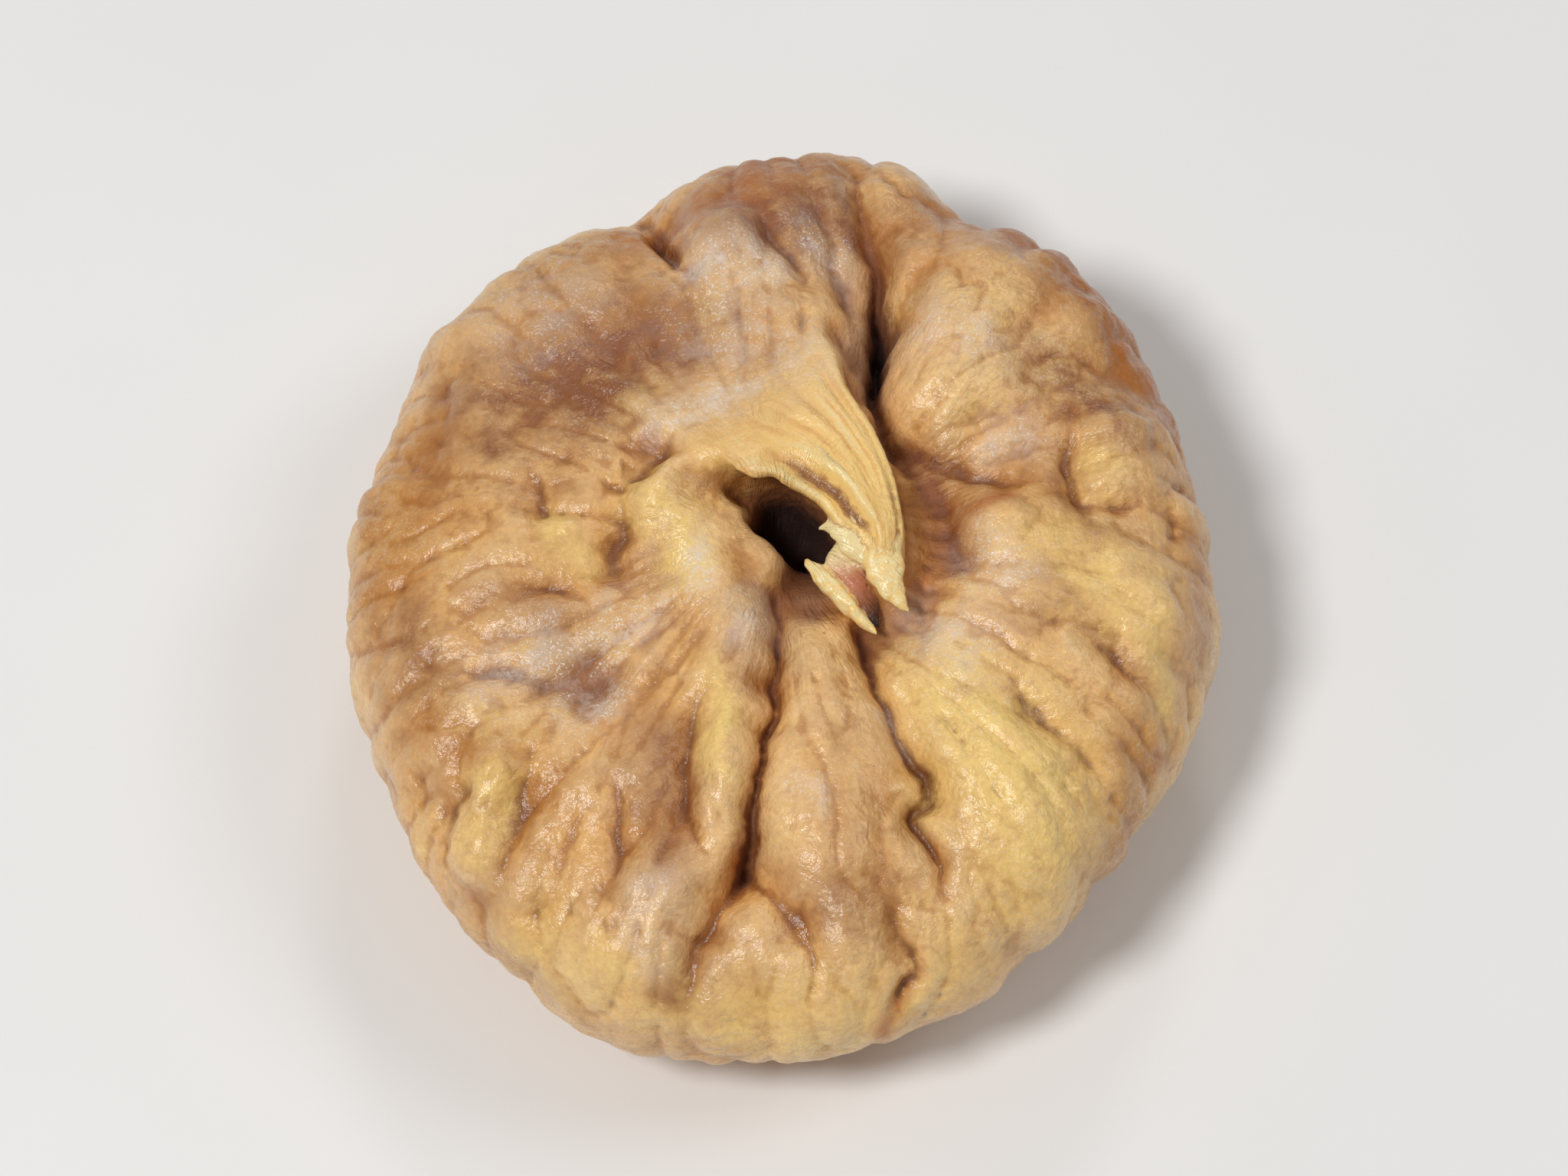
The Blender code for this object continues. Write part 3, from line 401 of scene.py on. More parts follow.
# What is the same all over the skin
SKIN_SOCKETS = {
    "Subsurface Weight": 0.18,
    "Subsurface Radius": (1.0, 0.45, 0.16),
    "Subsurface Scale": 0.5 * MM,
    "IOR": 1.46,
    "Coat Roughness": 0.18,
}

# Half the floor's width, and its roughness
FLOOR_HALF, FLOOR_ROUGHNESS = 1.5, 0.6
FLOOR_TONE_SIZE = 30 * MM
# The soft lights: place in metres, size and power
LIGHTS = {
    "key": ((-0.24, -0.17, 0.5), 0.14, 1.85),
    "fill": ((0.4, 0.05, 0.5), 0.25, 0.62),
    "back": ((0.05, 0.45, 0.4), 0.12, 0.35),
}
WORLD_COLOUR, WORLD_STRENGTH = (0.95, 0.97, 1.0, 1.0), 0.26

# The camera looks down at the fig from the photo's side
CAMERA_ELEVATION = math.radians(62)
CAMERA_LENS = 135.0
CAMERA_DISTANCE = 0.305
CAMERA_AIM = (0.0, 0.0, 0.009)


def linear(red, green, blue):
    """A screen colour of 0 to 255 as the linear values that shaders take."""
    shares = np.array([red, green, blue]) / 255
    return (*np.where(shares <= 0.04045, shares / 12.92, ((shares + 0.055) / 1.055) ** 2.4), 1.0)


TAN = linear(244, 192, 122)
OCHRE = linear(214, 148, 74)
GOLD = linear(178, 108, 30)
BROWN = linear(146, 88, 50)
AMBER = linear(174, 108, 44)
# painted shade: the brown of the hollows, the crease bottoms, the pit and the gaps between the eye's scales
SHADE_BROWN = linear(118, 66, 34)
# painted shade at the bottom of the deep creases and deep in the pit; also the far end of the torn inside
DARK_BROWN = linear(44, 18, 10)
YELLOW = linear(254, 216, 132)
PALE = linear(250, 214, 158)
ORANGE = linear(186, 104, 38)
BLOOM = linear(244, 230, 214)
GREY_PINK = linear(178, 142, 118)
STRAW = linear(254, 210, 128)
LIP = linear(248, 224, 164)
SALMON = linear(200, 128, 92)
CREAM = linear(236, 204, 146)
FLOOR_TONES = (linear(238, 236, 233), linear(244, 243, 241))


def points_of(mesh):
    points = np.empty(len(mesh.vertices) * 3)
    mesh.vertices.foreach_get("co", points)
    return points.reshape(-1, 3)


def move_points(mesh, points):
    mesh.vertices.foreach_set("co", points.astype(np.float32).ravel())
    mesh.update()


def smooth_line(points, steps=6):
    """A curve through given points, by Catmull-Rom, with every column carried along."""
    points = np.asarray(points, float)
    ends = np.vstack([2 * points[0] - points[1], points, 2 * points[-1] - points[-2]])
    share = np.linspace(0, 1, steps, endpoint=False)[:, None]
    pieces = []
    for a, b, c, d in zip(ends, ends[1:], ends[2:], ends[3:]):
        pieces.append(
            b
            + 0.5 * share * (c - a)
            + share**2 * (a - 2.5 * b + 2 * c - 0.5 * d)
            + 0.5 * share**3 * (3 * b - a - 3 * c + d)
        )
    return np.vstack([*pieces, points[-1:]])


def eased(values, start, end):
    """0 up to start, 1 from end, and a soft step between them."""
    share = np.clip((values - start) / (end - start), 0, 1)
    return share * share * (3 - 2 * share)


def fade(values, start, full, fall, end):
    """0 before start, 1 from full to fall, and 0 again from end."""
    return eased(values, start, full) * (1 - eased(values, fall, end))


def noise_at(points, size):
    """Smooth noise from -1 to 1 at each point, in cells of the given size."""
    return np.array([noise.noise(Vector(point) + NOISE_OFFSET) for point in points / size])


def outline_radius(azimuth):
    """The radius of the oval outline at each azimuth, with its swells and flats."""
    across = np.cos(azimuth) / HALF_WIDTH
    along = np.sin(azimuth) / HALF_LENGTH
    radius = 1 / np.hypot(across, along)
    for centre, rise, spread in OUTLINE_SWELLS:
        turn = np.degrees(azimuth) - centre
        turn = (turn + 180) % 360 - 180
        radius = radius + rise * MM * np.exp(-((turn / spread) ** 2))
    return radius


def pressed_body(azimuth, polar):
    """The smooth pressed fruit: its points and outward directions, by azimuth and angle from +Z."""
    radius = outline_radius(azimuth)
    reach = radius * np.sin(polar) ** FULLNESS
    rise = np.where(polar < math.pi / 2, FACE_RISE, EYE_DROP)
    level = np.sign(np.cos(polar)) * np.abs(np.cos(polar)) ** FULLNESS
    points = np.stack([reach * np.cos(azimuth), reach * np.sin(azimuth), rise * level], axis=1)
    outward = points / np.stack([radius**2, radius**2, rise**2], axis=1)
    return points, outward / np.linalg.norm(outward, axis=1)[:, None]


def drawn_flat(azimuth, polar):
    """Where the skin lies on a flat drawing of the face: true to plan, and unrolled past the rim."""
    share = np.where(
        polar < RIM_POLAR,
        np.sin(polar) ** FULLNESS,
        RIM_SHARE + (polar - RIM_POLAR) / RIM_UNROLL,
    )
    reach = outline_radius(azimuth) * share
    return np.stack([reach * np.cos(azimuth), reach * np.sin(azimuth)], axis=1)


def near_line(flat, line, margin):
    """The skin points near a line, how far each is from it, and the line's columns and its
    heading where each is closest to it."""
    low, high = line[:, :2].min(0) - margin, line[:, :2].max(0) + margin
    near = np.flatnonzero(((flat > low) & (flat < high)).all(1))
    rows = np.arange(len(near))
    stretch = np.diff(line, axis=0)
    plan = stretch[:, :2]
    offset = flat[near, None] - line[None, :-1, :2]
    share = np.clip((offset * plan).sum(2) / (plan**2).sum(1), 0, 1)
    gap = np.linalg.norm(offset - share[:, :, None] * plan, axis=2)
    step = gap.argmin(1)
    columns = line[step] + share[rows, step, None] * stretch[step]
    heading = plan / np.linalg.norm(plan, axis=1)[:, None]
    return near, gap[rows, step], columns, heading[step]


def fold(flat, section, points):
    """How far one fold raises each point of the skin, given where it lies on the flat drawing."""
    line = smooth_line(points) * MM
    rises = np.zeros(len(flat))
    near, distance, columns, _ = near_line(flat, line, FOLD_REACH * line[:, 3].max())
    distance = distance / columns[:, 3]
    if section == CREASE:
        distance = np.hypot(distance, CREASE_ROUNDING) - CREASE_ROUNDING
    rises[near] = columns[:, 2] * np.exp(-(distance**section))
    return rises


def valleys(values):
    """Noise turned into round tops with a narrow valley wherever it changes sign."""
    return VALLEY_TOP * np.sqrt(np.abs(values) + VALLEY_ROUNDING) - 1


def wrinkles(azimuth, polar):
    """Rounded ribs with narrow valleys between them, which run from the face to the eye."""
    rises = np.zeros(len(azimuth))
    for rise, around, lengthways, angles in WRINKLES:
        ring = np.stack([np.cos(azimuth), np.sin(azimuth)], axis=1) * around
        cells = np.column_stack([ring, polar * lengthways])
        rises += rise * valleys(noise_at(cells, 1)) * fade(polar, *np.radians(angles))
    return rises


def fine_wrinkles(azimuth, polar, points, wander):
    """Narrow wrinkles in bent lines, mostly outward from the pit."""
    rises = np.zeros(len(azimuth))
    for rise, around, lengthways, angles, patch in FINE_WRINKLES:
        ring = np.stack([np.cos(azimuth), np.sin(azimuth)], axis=1) * around
        cells = np.column_stack([ring, polar * lengthways]) + FINE_WRINKLE_BENDS * wander / WANDER
        shown = fade(polar, *np.radians(angles))
        shown *= eased(noise_at(points + rise, patch), *FINE_WRINKLE_RANGE)
        rises += rise * valleys(noise_at(cells, 1)) * shown
    return rises


def uneven(points, bent):
    """The skin's lumps and crumples, the finest of them by the bent places."""
    rises = np.zeros(len(points))
    for rise, size in LUMPS:
        rises += rise * noise_at(points, size)
    for rise, size in CRUMPLES:
        rises += rise * valleys(noise_at(points, size))
    for rise, size, patch in FINE_CRUMPLES:
        shown = eased(noise_at(points, patch), *FINE_CRUMPLE_RANGE)
        rises += rise * valleys(noise_at(bent, size)) * shown
    return rises


def wandering(points):
    """A vector of smooth noise at each point, by which lines are bent."""
    return WANDER * np.array([noise.noise_vector(Vector(point)) for point in points / WANDER_TURNS])


def along_neck(flat):
    """The skin points by the neck. For each, its share of the neck's length, its place across in
    half widths, which is negative on the pit's side, the neck's columns there and its heading."""
    line = smooth_line(NECK) * MM
    steps = np.linalg.norm(np.diff(line[:, :2], axis=0), axis=1)
    travelled = np.concatenate([[0], np.cumsum(steps)]) / steps.sum()
    near, _, columns, heading = near_line(flat, np.column_stack([line, travelled]), line[:, 3].max())
    offset = flat[near] - columns[:, :2]
    across = (heading[:, 0] * offset[:, 1] - heading[:, 1] * offset[:, 0]) / columns[:, 3]
    share = columns[:, 5] + (offset * heading).sum(1) / steps.sum()
    return near, share, across, columns, heading


def neck_relief(share, across):
    """How far the neck's own folds raise it."""
    rises = np.zeros(len(share))
    for line in NECK_FOLDS:
        shares, *columns = np.transpose(line)
        middle, rise, half_width = (np.interp(share, shares, column) for column in columns)
        rises += rise * MM * np.exp(-(((across - middle) / half_width) ** 2))
    return rises


def neck_fold(flat, rises):
    """Raises the neck out of the face, and returns how far its edge leans out over the pit."""
    near, share, across, columns, heading = along_neck(flat)
    rise, half_width, crown = columns[:, 2], columns[:, 3], columns[:, 4]
    inside = 1 - eased(np.abs(across), *NECK_EDGE)
    inside *= eased(share, 0, NECK_RISEN) * (1 - eased(share, NECK_CLOSING, NECK_CLOSED))
    cells = np.stack([across * FIBRES_ACROSS, share * FIBRES_ALONG, np.zeros(len(near))], axis=1)
    fibres = FIBRE_RISE * valleys(noise_at(cells, 1)) * eased(share, *FIBRE_RANGE)
    fibres += FINE_FIBRE_RISE * noise_at(cells, 1 / FINE_FIBRES) * eased(share, *FIBRE_RANGE)
    top = rise - crown * across**2 + fibres + neck_relief(share, across)
    rises[near] += inside * (top - rises[near])
    lean = NECK_OVERHANG * eased(-across, *OVERHANG_ACROSS)
    lean -= (NECK_OVERHANG + NECK_UNDERCUT) * eased(-across, *UNDERCUT_ACROSS)
    lean += NECK_UNDERCUT * eased(-across, *UNDERCUT_END)
    lean *= half_width * fade(share, *OVERHANG_RANGE)
    shift = np.zeros((len(flat), 3))
    shift[near, 0] = heading[:, 1] * lean
    shift[near, 1] = -heading[:, 0] * lean
    return shift


def new_mesh(name, shaper):
    mesh = bpy.data.meshes.new(name)
    shaper.to_mesh(mesh)
    shaper.free()
    return mesh


def new_object(name, data):
    obj = bpy.data.objects.new(name, data)
    bpy.context.scene.collection.objects.link(obj)
    return obj


def sphere(name, sides=0, rings=0):
    """A unit sphere: even triangles, or rings and sides where a count of them is given."""
    shaper = bmesh.new()
    if sides:
        bmesh.ops.create_uvsphere(shaper, u_segments=sides, v_segments=rings, radius=1)
    else:
        bmesh.ops.create_icosphere(shaper, subdivisions=BODY_SUBDIVISIONS, radius=1)
    mesh = new_mesh(name, shaper)
    around = points_of(mesh)
    azimuth = np.arctan2(around[:, 1], around[:, 0])
    polar = np.arccos(np.clip(around[:, 2] / np.linalg.norm(around, axis=1), -1, 1))
    return mesh, azimuth, polar


def fine_body():
    """The pressed body with its folds, and the marks of its colours by the same vertices."""
    mesh, azimuth, polar = sphere("fine_skin")
    points, outward = pressed_body(azimuth, polar)
    flat = drawn_flat(azimuth, polar)
    wander = wandering(points)
    rises = wrinkles(azimuth, polar) + uneven(points, points + wander)
    rises += fine_wrinkles(azimuth, polar, points, wander)
    creases = np.zeros(len(rises))
    thin_lines = np.zeros(len(rises))
    for section, line in FACE_FOLDS:
        rise = fold(flat + wander[:, :2], section, line)
        if section == CREASE:
            # the narrow bottom of each crease, which the colours darken as painted shade
            thin_lines = np.maximum(thin_lines, -rise / MM * (rise / rise.min()) ** LINE_POWER)
            slit = rise * (rise / rise.min()) ** SLIT_POWER
            slit *= eased(-rise.min() / MM, *SLIT_RANGE)
            rise += SLIT_DEPTH * slit
            creases -= slit / MM
        rises += rise
    underneath = np.where(polar[:, None] > math.pi / 2, points[:, :2], np.inf)
    for section, line in EYE_FOLDS:
        rises += fold(underneath, section, line)
    marks = {name: np.zeros(len(rises)) for name in ("lip", "core", "scrap")}
    marks["crease"] = creases
    marks["line"] = thin_lines
    from_eye = np.hypot(underneath[:, 0] - EYE_X, underneath[:, 1] - EYE_Y)
    marks["eye"] = np.exp(-((from_eye / EYE_REACH) ** EYE_EDGE))
    marks.update(neck_marks(flat))
    marks.update(patch_marks(flat, points))
    shift = neck_fold(flat, rises)
    # depth below the pressed body, by which the colours paint shade in the pit
    marks["depth"] = -rises / MM
    marks["neck"] *= 1 - eased(marks["depth"], *STRAW_DEPTHS)
    move_points(mesh, points + outward * rises[:, None] + shift + (*TO_BOX_MIDDLE, MIDDLE_HEIGHT))
    return mesh, marks


def neck_marks(flat):
    """Where the neck's straw-coloured fibres show, and the run of the fibres there."""
    near, share, across, *_ = along_neck(flat)
    marks = {name: np.zeros(len(flat)) for name in ("neck", "groove", "across", "along")}
    straw = (1 - eased(np.abs(across), *STRAW_ACROSS)) * eased(share, *STRAW_START)
    marks["neck"][near] = straw * (1 - eased(share, *STRAW_END))
    marks["groove"][near] = -neck_relief(share, across) / MM
    marks["across"][near] = across
    marks["along"][near] = share
    return marks


def patch_marks(flat, points):
    """How strongly each colour patch shows at each point, with wandering edges."""
    wander = [noise_at(points + shift, PATCH_TURNS) for shift in (0, NOISE_SHIFT)]
    wandered = flat + PATCH_WANDER * np.stack(wander, axis=1)
    marks = {}
    for name, lines in PATCHES.items():
        strength = np.zeros(len(flat))
        for line in lines:
            strength = np.maximum(strength, fold(wandered, SWELL, line) / MM)
        marks[name] = strength
    return marks


def limb(name, line, sides, rings):
    """A sphere drawn out along a line of x, y, height, half width and half thickness, and the share
    of the line where each of its vertices lies."""
    mesh, turn, polar = sphere(name, sides, rings)
    line = smooth_line(line)
    steps = np.linalg.norm(np.diff(line[:, :3], axis=0), axis=1)
    travelled = np.concatenate([[0], np.cumsum(steps)]) / steps.sum()
    headings = np.gradient(line[:, :3], travelled, axis=0)
    along = polar / math.pi
    middle = np.stack([np.interp(along, travelled, line[:, i]) for i in range(3)], axis=1)
    heading = np.stack([np.interp(along, travelled, headings[:, i]) for i in range(3)], axis=1)
    heading /= np.linalg.norm(heading, axis=1)[:, None]
    side = np.cross(heading, (0, 0, 1))
    side /= np.linalg.norm(side, axis=1)[:, None]
    up = np.cross(side, heading)
    closing = np.sin(polar) ** LIMB_CLOSING
    wide = np.interp(along, travelled, line[:, 3]) * closing * np.cos(turn)
    thick = np.interp(along, travelled, line[:, 4]) * closing * np.sin(turn)
    move_points(mesh, middle + side * wide[:, None] + up * thick[:, None])
    return mesh, along


def torn_lips():
    """The lips, from lines written in mm over the middle plane, with their frays and marks."""
    lips = []
    for number, (line, (mark, start, full)) in enumerate(zip(LIPS, LIP_MARKS)):
        line = np.asarray(line) * MM + (*TO_BOX_MIDDLE, MIDDLE_HEIGHT, 0, 0)
        mesh, along = limb(f"lip_{number}", line, LIP_SIDES, LIP_RINGS)
        points = points_of(mesh)
        frays = [noise.noise_vector(Vector(point)) for point in points / LIP_FRAY_SIZE]
        move_points(mesh, points + LIP_FRAY * np.array(frays))
        lips.append((mesh, {mark: eased(along, start, full), "along": along}))
    return lips


def eye_scales():
    """Two rounds of scales that lean over each other and dip down towards the eye's hole."""
    scales = []
    eye = np.array([EYE_X + TO_BOX_MIDDLE[0], EYE_Y + TO_BOX_MIDDLE[1], 0])
    for number, (count, distance, length, width, height) in enumerate(EYE_ROUNDS):
        for place in range(count):
            turn = 2 * math.pi * (place + 0.5 * number) / count
            middle = eye + (distance * math.cos(turn), distance * math.sin(turn), height)
            turn += SCALE_TURN
            half = np.array([-0.5 * length * math.cos(turn), -0.5 * length * math.sin(turn), -SCALE_DIP])
            outer, tip = middle - half, middle + half
            thick = 0.5 * SCALE_THICKNESS
            line = (
                (*outer, 0.5 * width, thick),
                (*middle, 0.5 * width, thick),
                (*tip, SCALE_TIP * width, thick),
            )
            mesh, along = limb(f"scale_{number}_{place}", line, SCALE_SIDES, SCALE_RINGS)
            scales.append((mesh, {"eye": np.ones(len(along)), "along": along}))
    return scales


def grown_together(meshes):
    """One mesh that holds all the given ones, each with its faces turned outward."""
    shaper = bmesh.new()
    for mesh in meshes:
        shaper.from_mesh(mesh)
    bmesh.ops.recalc_face_normals(shaper, faces=shaper.faces)
    shaper.to_mesh(meshes[0])
    shaper.free()
    for mesh in meshes[1:]:
        bpy.data.meshes.remove(mesh)
    return meshes[0]


def applied(obj):
    """The object's mesh as its modifiers leave it."""
    graph = bpy.context.evaluated_depsgraph_get()
    mesh = bpy.data.meshes.new_from_object(obj.evaluated_get(graph))
    obj.modifiers.clear()
    obj.data = mesh
    return mesh


def normals_of(mesh):
    normals = np.empty(len(mesh.vertices) * 3)
    mesh.vertex_normals.foreach_get("vector", normals)
    return normals.reshape(-1, 3)


def carried_over(marks, old_points, new_points):
    """Each mark at the new points, taken from the closest old point."""
    tree = kdtree.KDTree(len(old_points))
    for index, point in enumerate(old_points):
        tree.insert(point, index)
    tree.balance()
    closest = np.array([tree.find(point)[1] for point in new_points])
    return {name: values[closest] for name, values in marks.items()}


def hollows(mesh, passes):
    """How far each vertex lies below the skin around it, found by smoothing the mesh."""
    edges = np.empty(len(mesh.edges) * 2, int)
    mesh.edges.foreach_get("vertices", edges)
    first, second = edges.reshape(-1, 2).T
    count = len(mesh.vertices)
    around = np.bincount(first, minlength=count) + np.bincount(second, minlength=count)
    points = points_of(mesh)
    smooth = points.copy()
    for _ in range(passes):
        for axis in range(3):
            values = smooth[:, axis]
            total = np.bincount(first, values[second], count) + np.bincount(second, values[first], count)
            smooth[:, axis] = total / around
    return ((smooth - points) * normals_of(mesh)).sum(1)


def ring_places(points):
    """Places by azimuth and by angle from +Z, in which outward wrinkles are straight lines."""
    reach = np.maximum(np.hypot(points[:, 0], points[:, 1]), MM)
    polar = np.arctan2(reach / HALF_WIDTH, (points[:, 2] - MIDDLE_HEIGHT) / FACE_RISE)
    return np.column_stack([points[:, :2] / reach[:, None], polar])


def whole_skin():
    """The body, lips and scales in one mesh of closed shapes, and the marks by its vertices."""
    body, marks = fine_body()
    others = [*torn_lips(), *eye_scales()]
    for mesh, own_marks in others:
        bare = np.zeros(len(mesh.vertices))
        for mark in marks:
            marks[mark] = np.append(marks[mark], own_marks.get(mark, bare))
    joined = grown_together([body, *(mesh for mesh, _ in others)])
    joined.update()
    return joined, marks


def roughened(mesh):
    """Adds the finest relief along the normals, and keeps the skin above the floor."""
    points = points_of(mesh)
    rises = FINE_RELIEF_RISE * valleys(noise_at(points, FINE_RELIEF_SIZE))
    points += normals_of(mesh) * rises[:, None]
    points[:, 2] = np.maximum(points[:, 2], 0)
    move_points(mesh, points)


def write_marks(mesh, marks):
    """Stores each mark on the mesh, for the colours to follow."""
    for name, values in marks.items():
        layer = mesh.attributes.new(name, "FLOAT", "POINT")
        layer.data.foreach_set("value", values.astype(np.float32))
    layer = mesh.attributes.new("ring", "FLOAT_VECTOR", "POINT")
    layer.data.foreach_set("vector", ring_places(points_of(mesh)).astype(np.float32).ravel())


def fine_fig():
    """The fig's whole skin, grown together, with its fine relief and its marks."""
    joined, marks = whole_skin()
    old_points = points_of(joined)
    fig = new_object("fig_skin", joined)
    join = fig.modifiers.new("one_skin", "REMESH")
    join.mode = "VOXEL"
    join.voxel_size = VOXEL
    soften = fig.modifiers.new("soften", "SMOOTH")
    soften.iterations = SMOOTHING_PASSES
    mesh = applied(fig)
    roughened(mesh)

    thin = fig.modifiers.new("fewer_faces", "DECIMATE")
    thin.ratio = min(1, TRIANGLES / (2 * len(mesh.polygons)))
    mesh = applied(fig)
    mesh.shade_smooth()
    marks = carried_over(marks, old_points, points_of(mesh))
    # the colours paint shade into these hollows and light onto the ridges between them
    marks["fine_hollow"] = hollows(mesh, FINE_PASSES) / MM
    marks["broad_hollow"] = hollows(mesh, BROAD_PASSES) / MM
    write_marks(mesh, marks)
    return fig


class Paint:
    """Adds the nodes of one material, each by a short call that returns its output."""

    def __init__(self, name):
        self.material = bpy.data.materials.new(name)
        self.material.use_nodes = True
        self.tree = self.material.node_tree
        self.shader = self.tree.nodes["Principled BSDF"]

    def feed(self, node, inputs):
        """Links or sets a node's inputs, by their names or numbers."""
        for key, value in inputs.items():
            if isinstance(value, bpy.types.NodeSocket):
                self.tree.links.new(value, node.inputs[key])
            else:
                node.inputs[key].default_value = value

    def made(self, kind, output, inputs, **settings):
        """One output of a new node of some kind."""
        node = self.tree.nodes.new(kind)
        for name, value in settings.items():
            setattr(node, name, value)
        self.feed(node, inputs)
        return node.outputs[output]

    def mark(self, name, output="Fac"):
        return self.made("ShaderNodeAttribute", output, {}, attribute_name=name)

    def place(self):
        return self.made("ShaderNodeTexCoord", "Object", {})

    def shifted(self, distance):
        """The place on the object, moved along every axis, for a noise unlike the others."""
        inputs = {0: self.place(), 1: (distance,) * 3}
        return self.made("ShaderNodeVectorMath", 0, inputs, operation="ADD")

    def maths(self, operation, first, second):
        return self.made("ShaderNodeMath", 0, {0: first, 1: second}, operation=operation)

    def times(self, first, second):
        return self.maths("MULTIPLY", first, second)

    def step(self, value, low, high, low_result=0.0, high_result=1.0):
        """A soft step of a value from one result to another."""
        inputs = {
            "Value": value,
            "From Min": low,
            "From Max": high,
            "To Min": low_result,
            "To Max": high_result,
        }
        return self.made("ShaderNodeMapRange", 0, inputs, interpolation_type="SMOOTHSTEP")

    def mix(self, share, first, second):
        inputs = {"Factor": share, 6: first, 7: second}
        return self.made("ShaderNodeMix", 2, inputs, data_type="RGBA")

    def patch(self, name, unevenness, low, high):
        """How much of a colour patch shows: its mark, times low to high by an uneven value."""
        strength = self.times(self.mark(name), self.step(unevenness, 0.3, 0.7, low, high))
        return self.maths("MINIMUM", strength, 1.0)

    def shaded(self, colour, rows):
        """The colour with others laid over it. Each row is a value, the numbers where its colour
        starts and is full, how much of it shows there, and the colour."""
        for value, start, full, share, shade in rows:
            colour = self.mix(self.step(value, start, full, 0.0, share), colour, shade)
        return colour

    def noise(self, size, detail=3.0, roughness=0.6, vector=None):
        """Noise from 0 to 1 with features of a size in metres, or in units of the given vector."""
        inputs = {
            "Vector": vector or self.place(),
            "Scale": 1 / size,
            "Detail": detail,
            "Roughness": roughness,
        }
        return self.made("ShaderNodeTexNoise", "Fac", inputs)

    def bump(self, height, distance, normal=None, strength=1.0):
        inputs = {"Height": height, "Distance": distance, "Strength": strength}
        if normal:
            inputs["Normal"] = normal
        return self.made("ShaderNodeBump", "Normal", inputs)


def skin_colour(paint, wide, medium, small):
    """The mottled skin, with painted shade in its hollows and painted light on its ridges, and its patches.
    """
    mark, step, times, mix = paint.mark, paint.step, paint.times, paint.mix
    broad = paint.noise(BROAD_SIZE, 4.0)
    greyish = paint.noise(GREY_SIZE, 3.0, 0.6, paint.shifted(0.07))
    colour = mix(step(broad, 0.38, 0.62), TAN, mix(step(medium, 0.3, 0.7), OCHRE, TAN))
    rows = (
        (wide, 0.5, 0.68, 0.5, YELLOW),
        (wide, 0.48, 0.3, 0.5, BROWN),
        (greyish, 0.48, 0.66, 0.3, GREY_PINK),
        (medium, 0.5, 0.68, 0.5, AMBER),
        (medium, 0.46, 0.32, 0.45, PALE),
        # painted light on the raised skin, and painted shade, amber, in the broad and fine hollows
        (mark("broad_hollow"), 0.0, -0.35, 0.35, PALE),
        (mark("broad_hollow"), -0.02, 0.3, 0.75, AMBER),
        (mark("fine_hollow"), -0.005, 0.04, 0.4, AMBER),
    )
    colour = paint.shaded(colour, rows)
    patches = (("gold", 0.7, 1.3, GOLD), ("yellow", 1.2, 0.5, YELLOW), ("brown", 0.6, 1.3, BROWN))
    for name, low, high, shade in patches:
        colour = mix(paint.patch(name, medium, low, high), colour, shade)
    colour = mix(times(mark("orange"), step(medium, 0.25, 0.6, 0.25, 0.8)), colour, ORANGE)
    colour = mix(times(mark("grey"), 0.7), colour, GREY_PINK)
    return paint.shaded(colour, ((small, 0.3, 0.7, 0.2, BROWN),))


def neck_fibres(paint):
    """Noise drawn out along the neck."""
    across, along = (paint.times(paint.mark(n), cells) for n, cells in STRAW_CELLS.items())
    place = paint.made("ShaderNodeCombineXYZ", 0, {0: across, 1: along})
    return paint.noise(1.0, 3.0, 0.6, place)


def straw_colour(paint, fibres):
    """The straw-coloured neck, brown in its groove and pale on its ribs."""
    straw = paint.mix(paint.step(fibres, 0.36, 0.5), paint.mix(0.5, STRAW, OCHRE), STRAW)
    rows = (
        (fibres, 0.54, 0.66, 0.8, LIP),
        (paint.mark("groove"), 0.05, 0.35, 0.8, BROWN),
        (paint.mark("groove"), -0.1, -0.4, 0.7, LIP),
    )
    return paint.shaded(straw, rows)


def with_lines_and_shade(paint, colour, medium, coarse_lines, fine_lines):
    """The colour with the brown lines of the wrinkle nets, and with painted shade in the hollows and along
    the creases.
    """
    rows = (
        (coarse_lines, 0.1, 0.0, 0.15, BROWN),
        (fine_lines, 0.1, 0.0, 0.1, BROWN),
        # painted shade in the fine and the broad hollows
        (paint.mark("fine_hollow"), 0.04, 0.12, 0.5, SHADE_BROWN),
        (paint.mark("broad_hollow"), 0.25, 0.9, 0.5, SHADE_BROWN),
    )
    colour = paint.shaded(colour, rows)
    # painted shade along the crease bottoms, darkest in the deep creases, broken up by noise
    uneven_line = paint.step(medium, 0.35, 0.6, 0.3, 1.0)
    rows = (
        ("line", 0.1, 0.5, 0.6, SHADE_BROWN),
        ("crease", 0.1, 0.8, 0.75, SHADE_BROWN),
        ("crease", 0.9, 3.0, 0.8, DARK_BROWN),
    )
    for name, start, full, share, shade in rows:
        edge = paint.times(paint.step(paint.mark(name), start, full, 0.0, share), uneven_line)
        colour = paint.mix(edge, colour, shade)
    return colour


def sugar_bloom(paint, wide, medium, small):
    """How much the bloom's haze and its grains show. There are few grains in the hollows."""
    step, times = paint.step, paint.times
    haze = times(paint.mark("bloom"), step(medium, 0.35, 0.62, 0.1, 0.75))
    haze = times(haze, step(small, 0.3, 0.65, 0.5, 1.0))
    shown = paint.maths("ADD", step(wide, 0.45, 0.65, 0.0, 0.3), paint.mark("bloom"))
    shown = times(shown, step(paint.mark("fine_hollow"), 0.03, -0.03, 0.1, 0.9))
    grains = times(step(paint.noise(GRAIN_SIZE, 1.0, 0.5), 0.58, 0.66), shown)
    return haze, grains


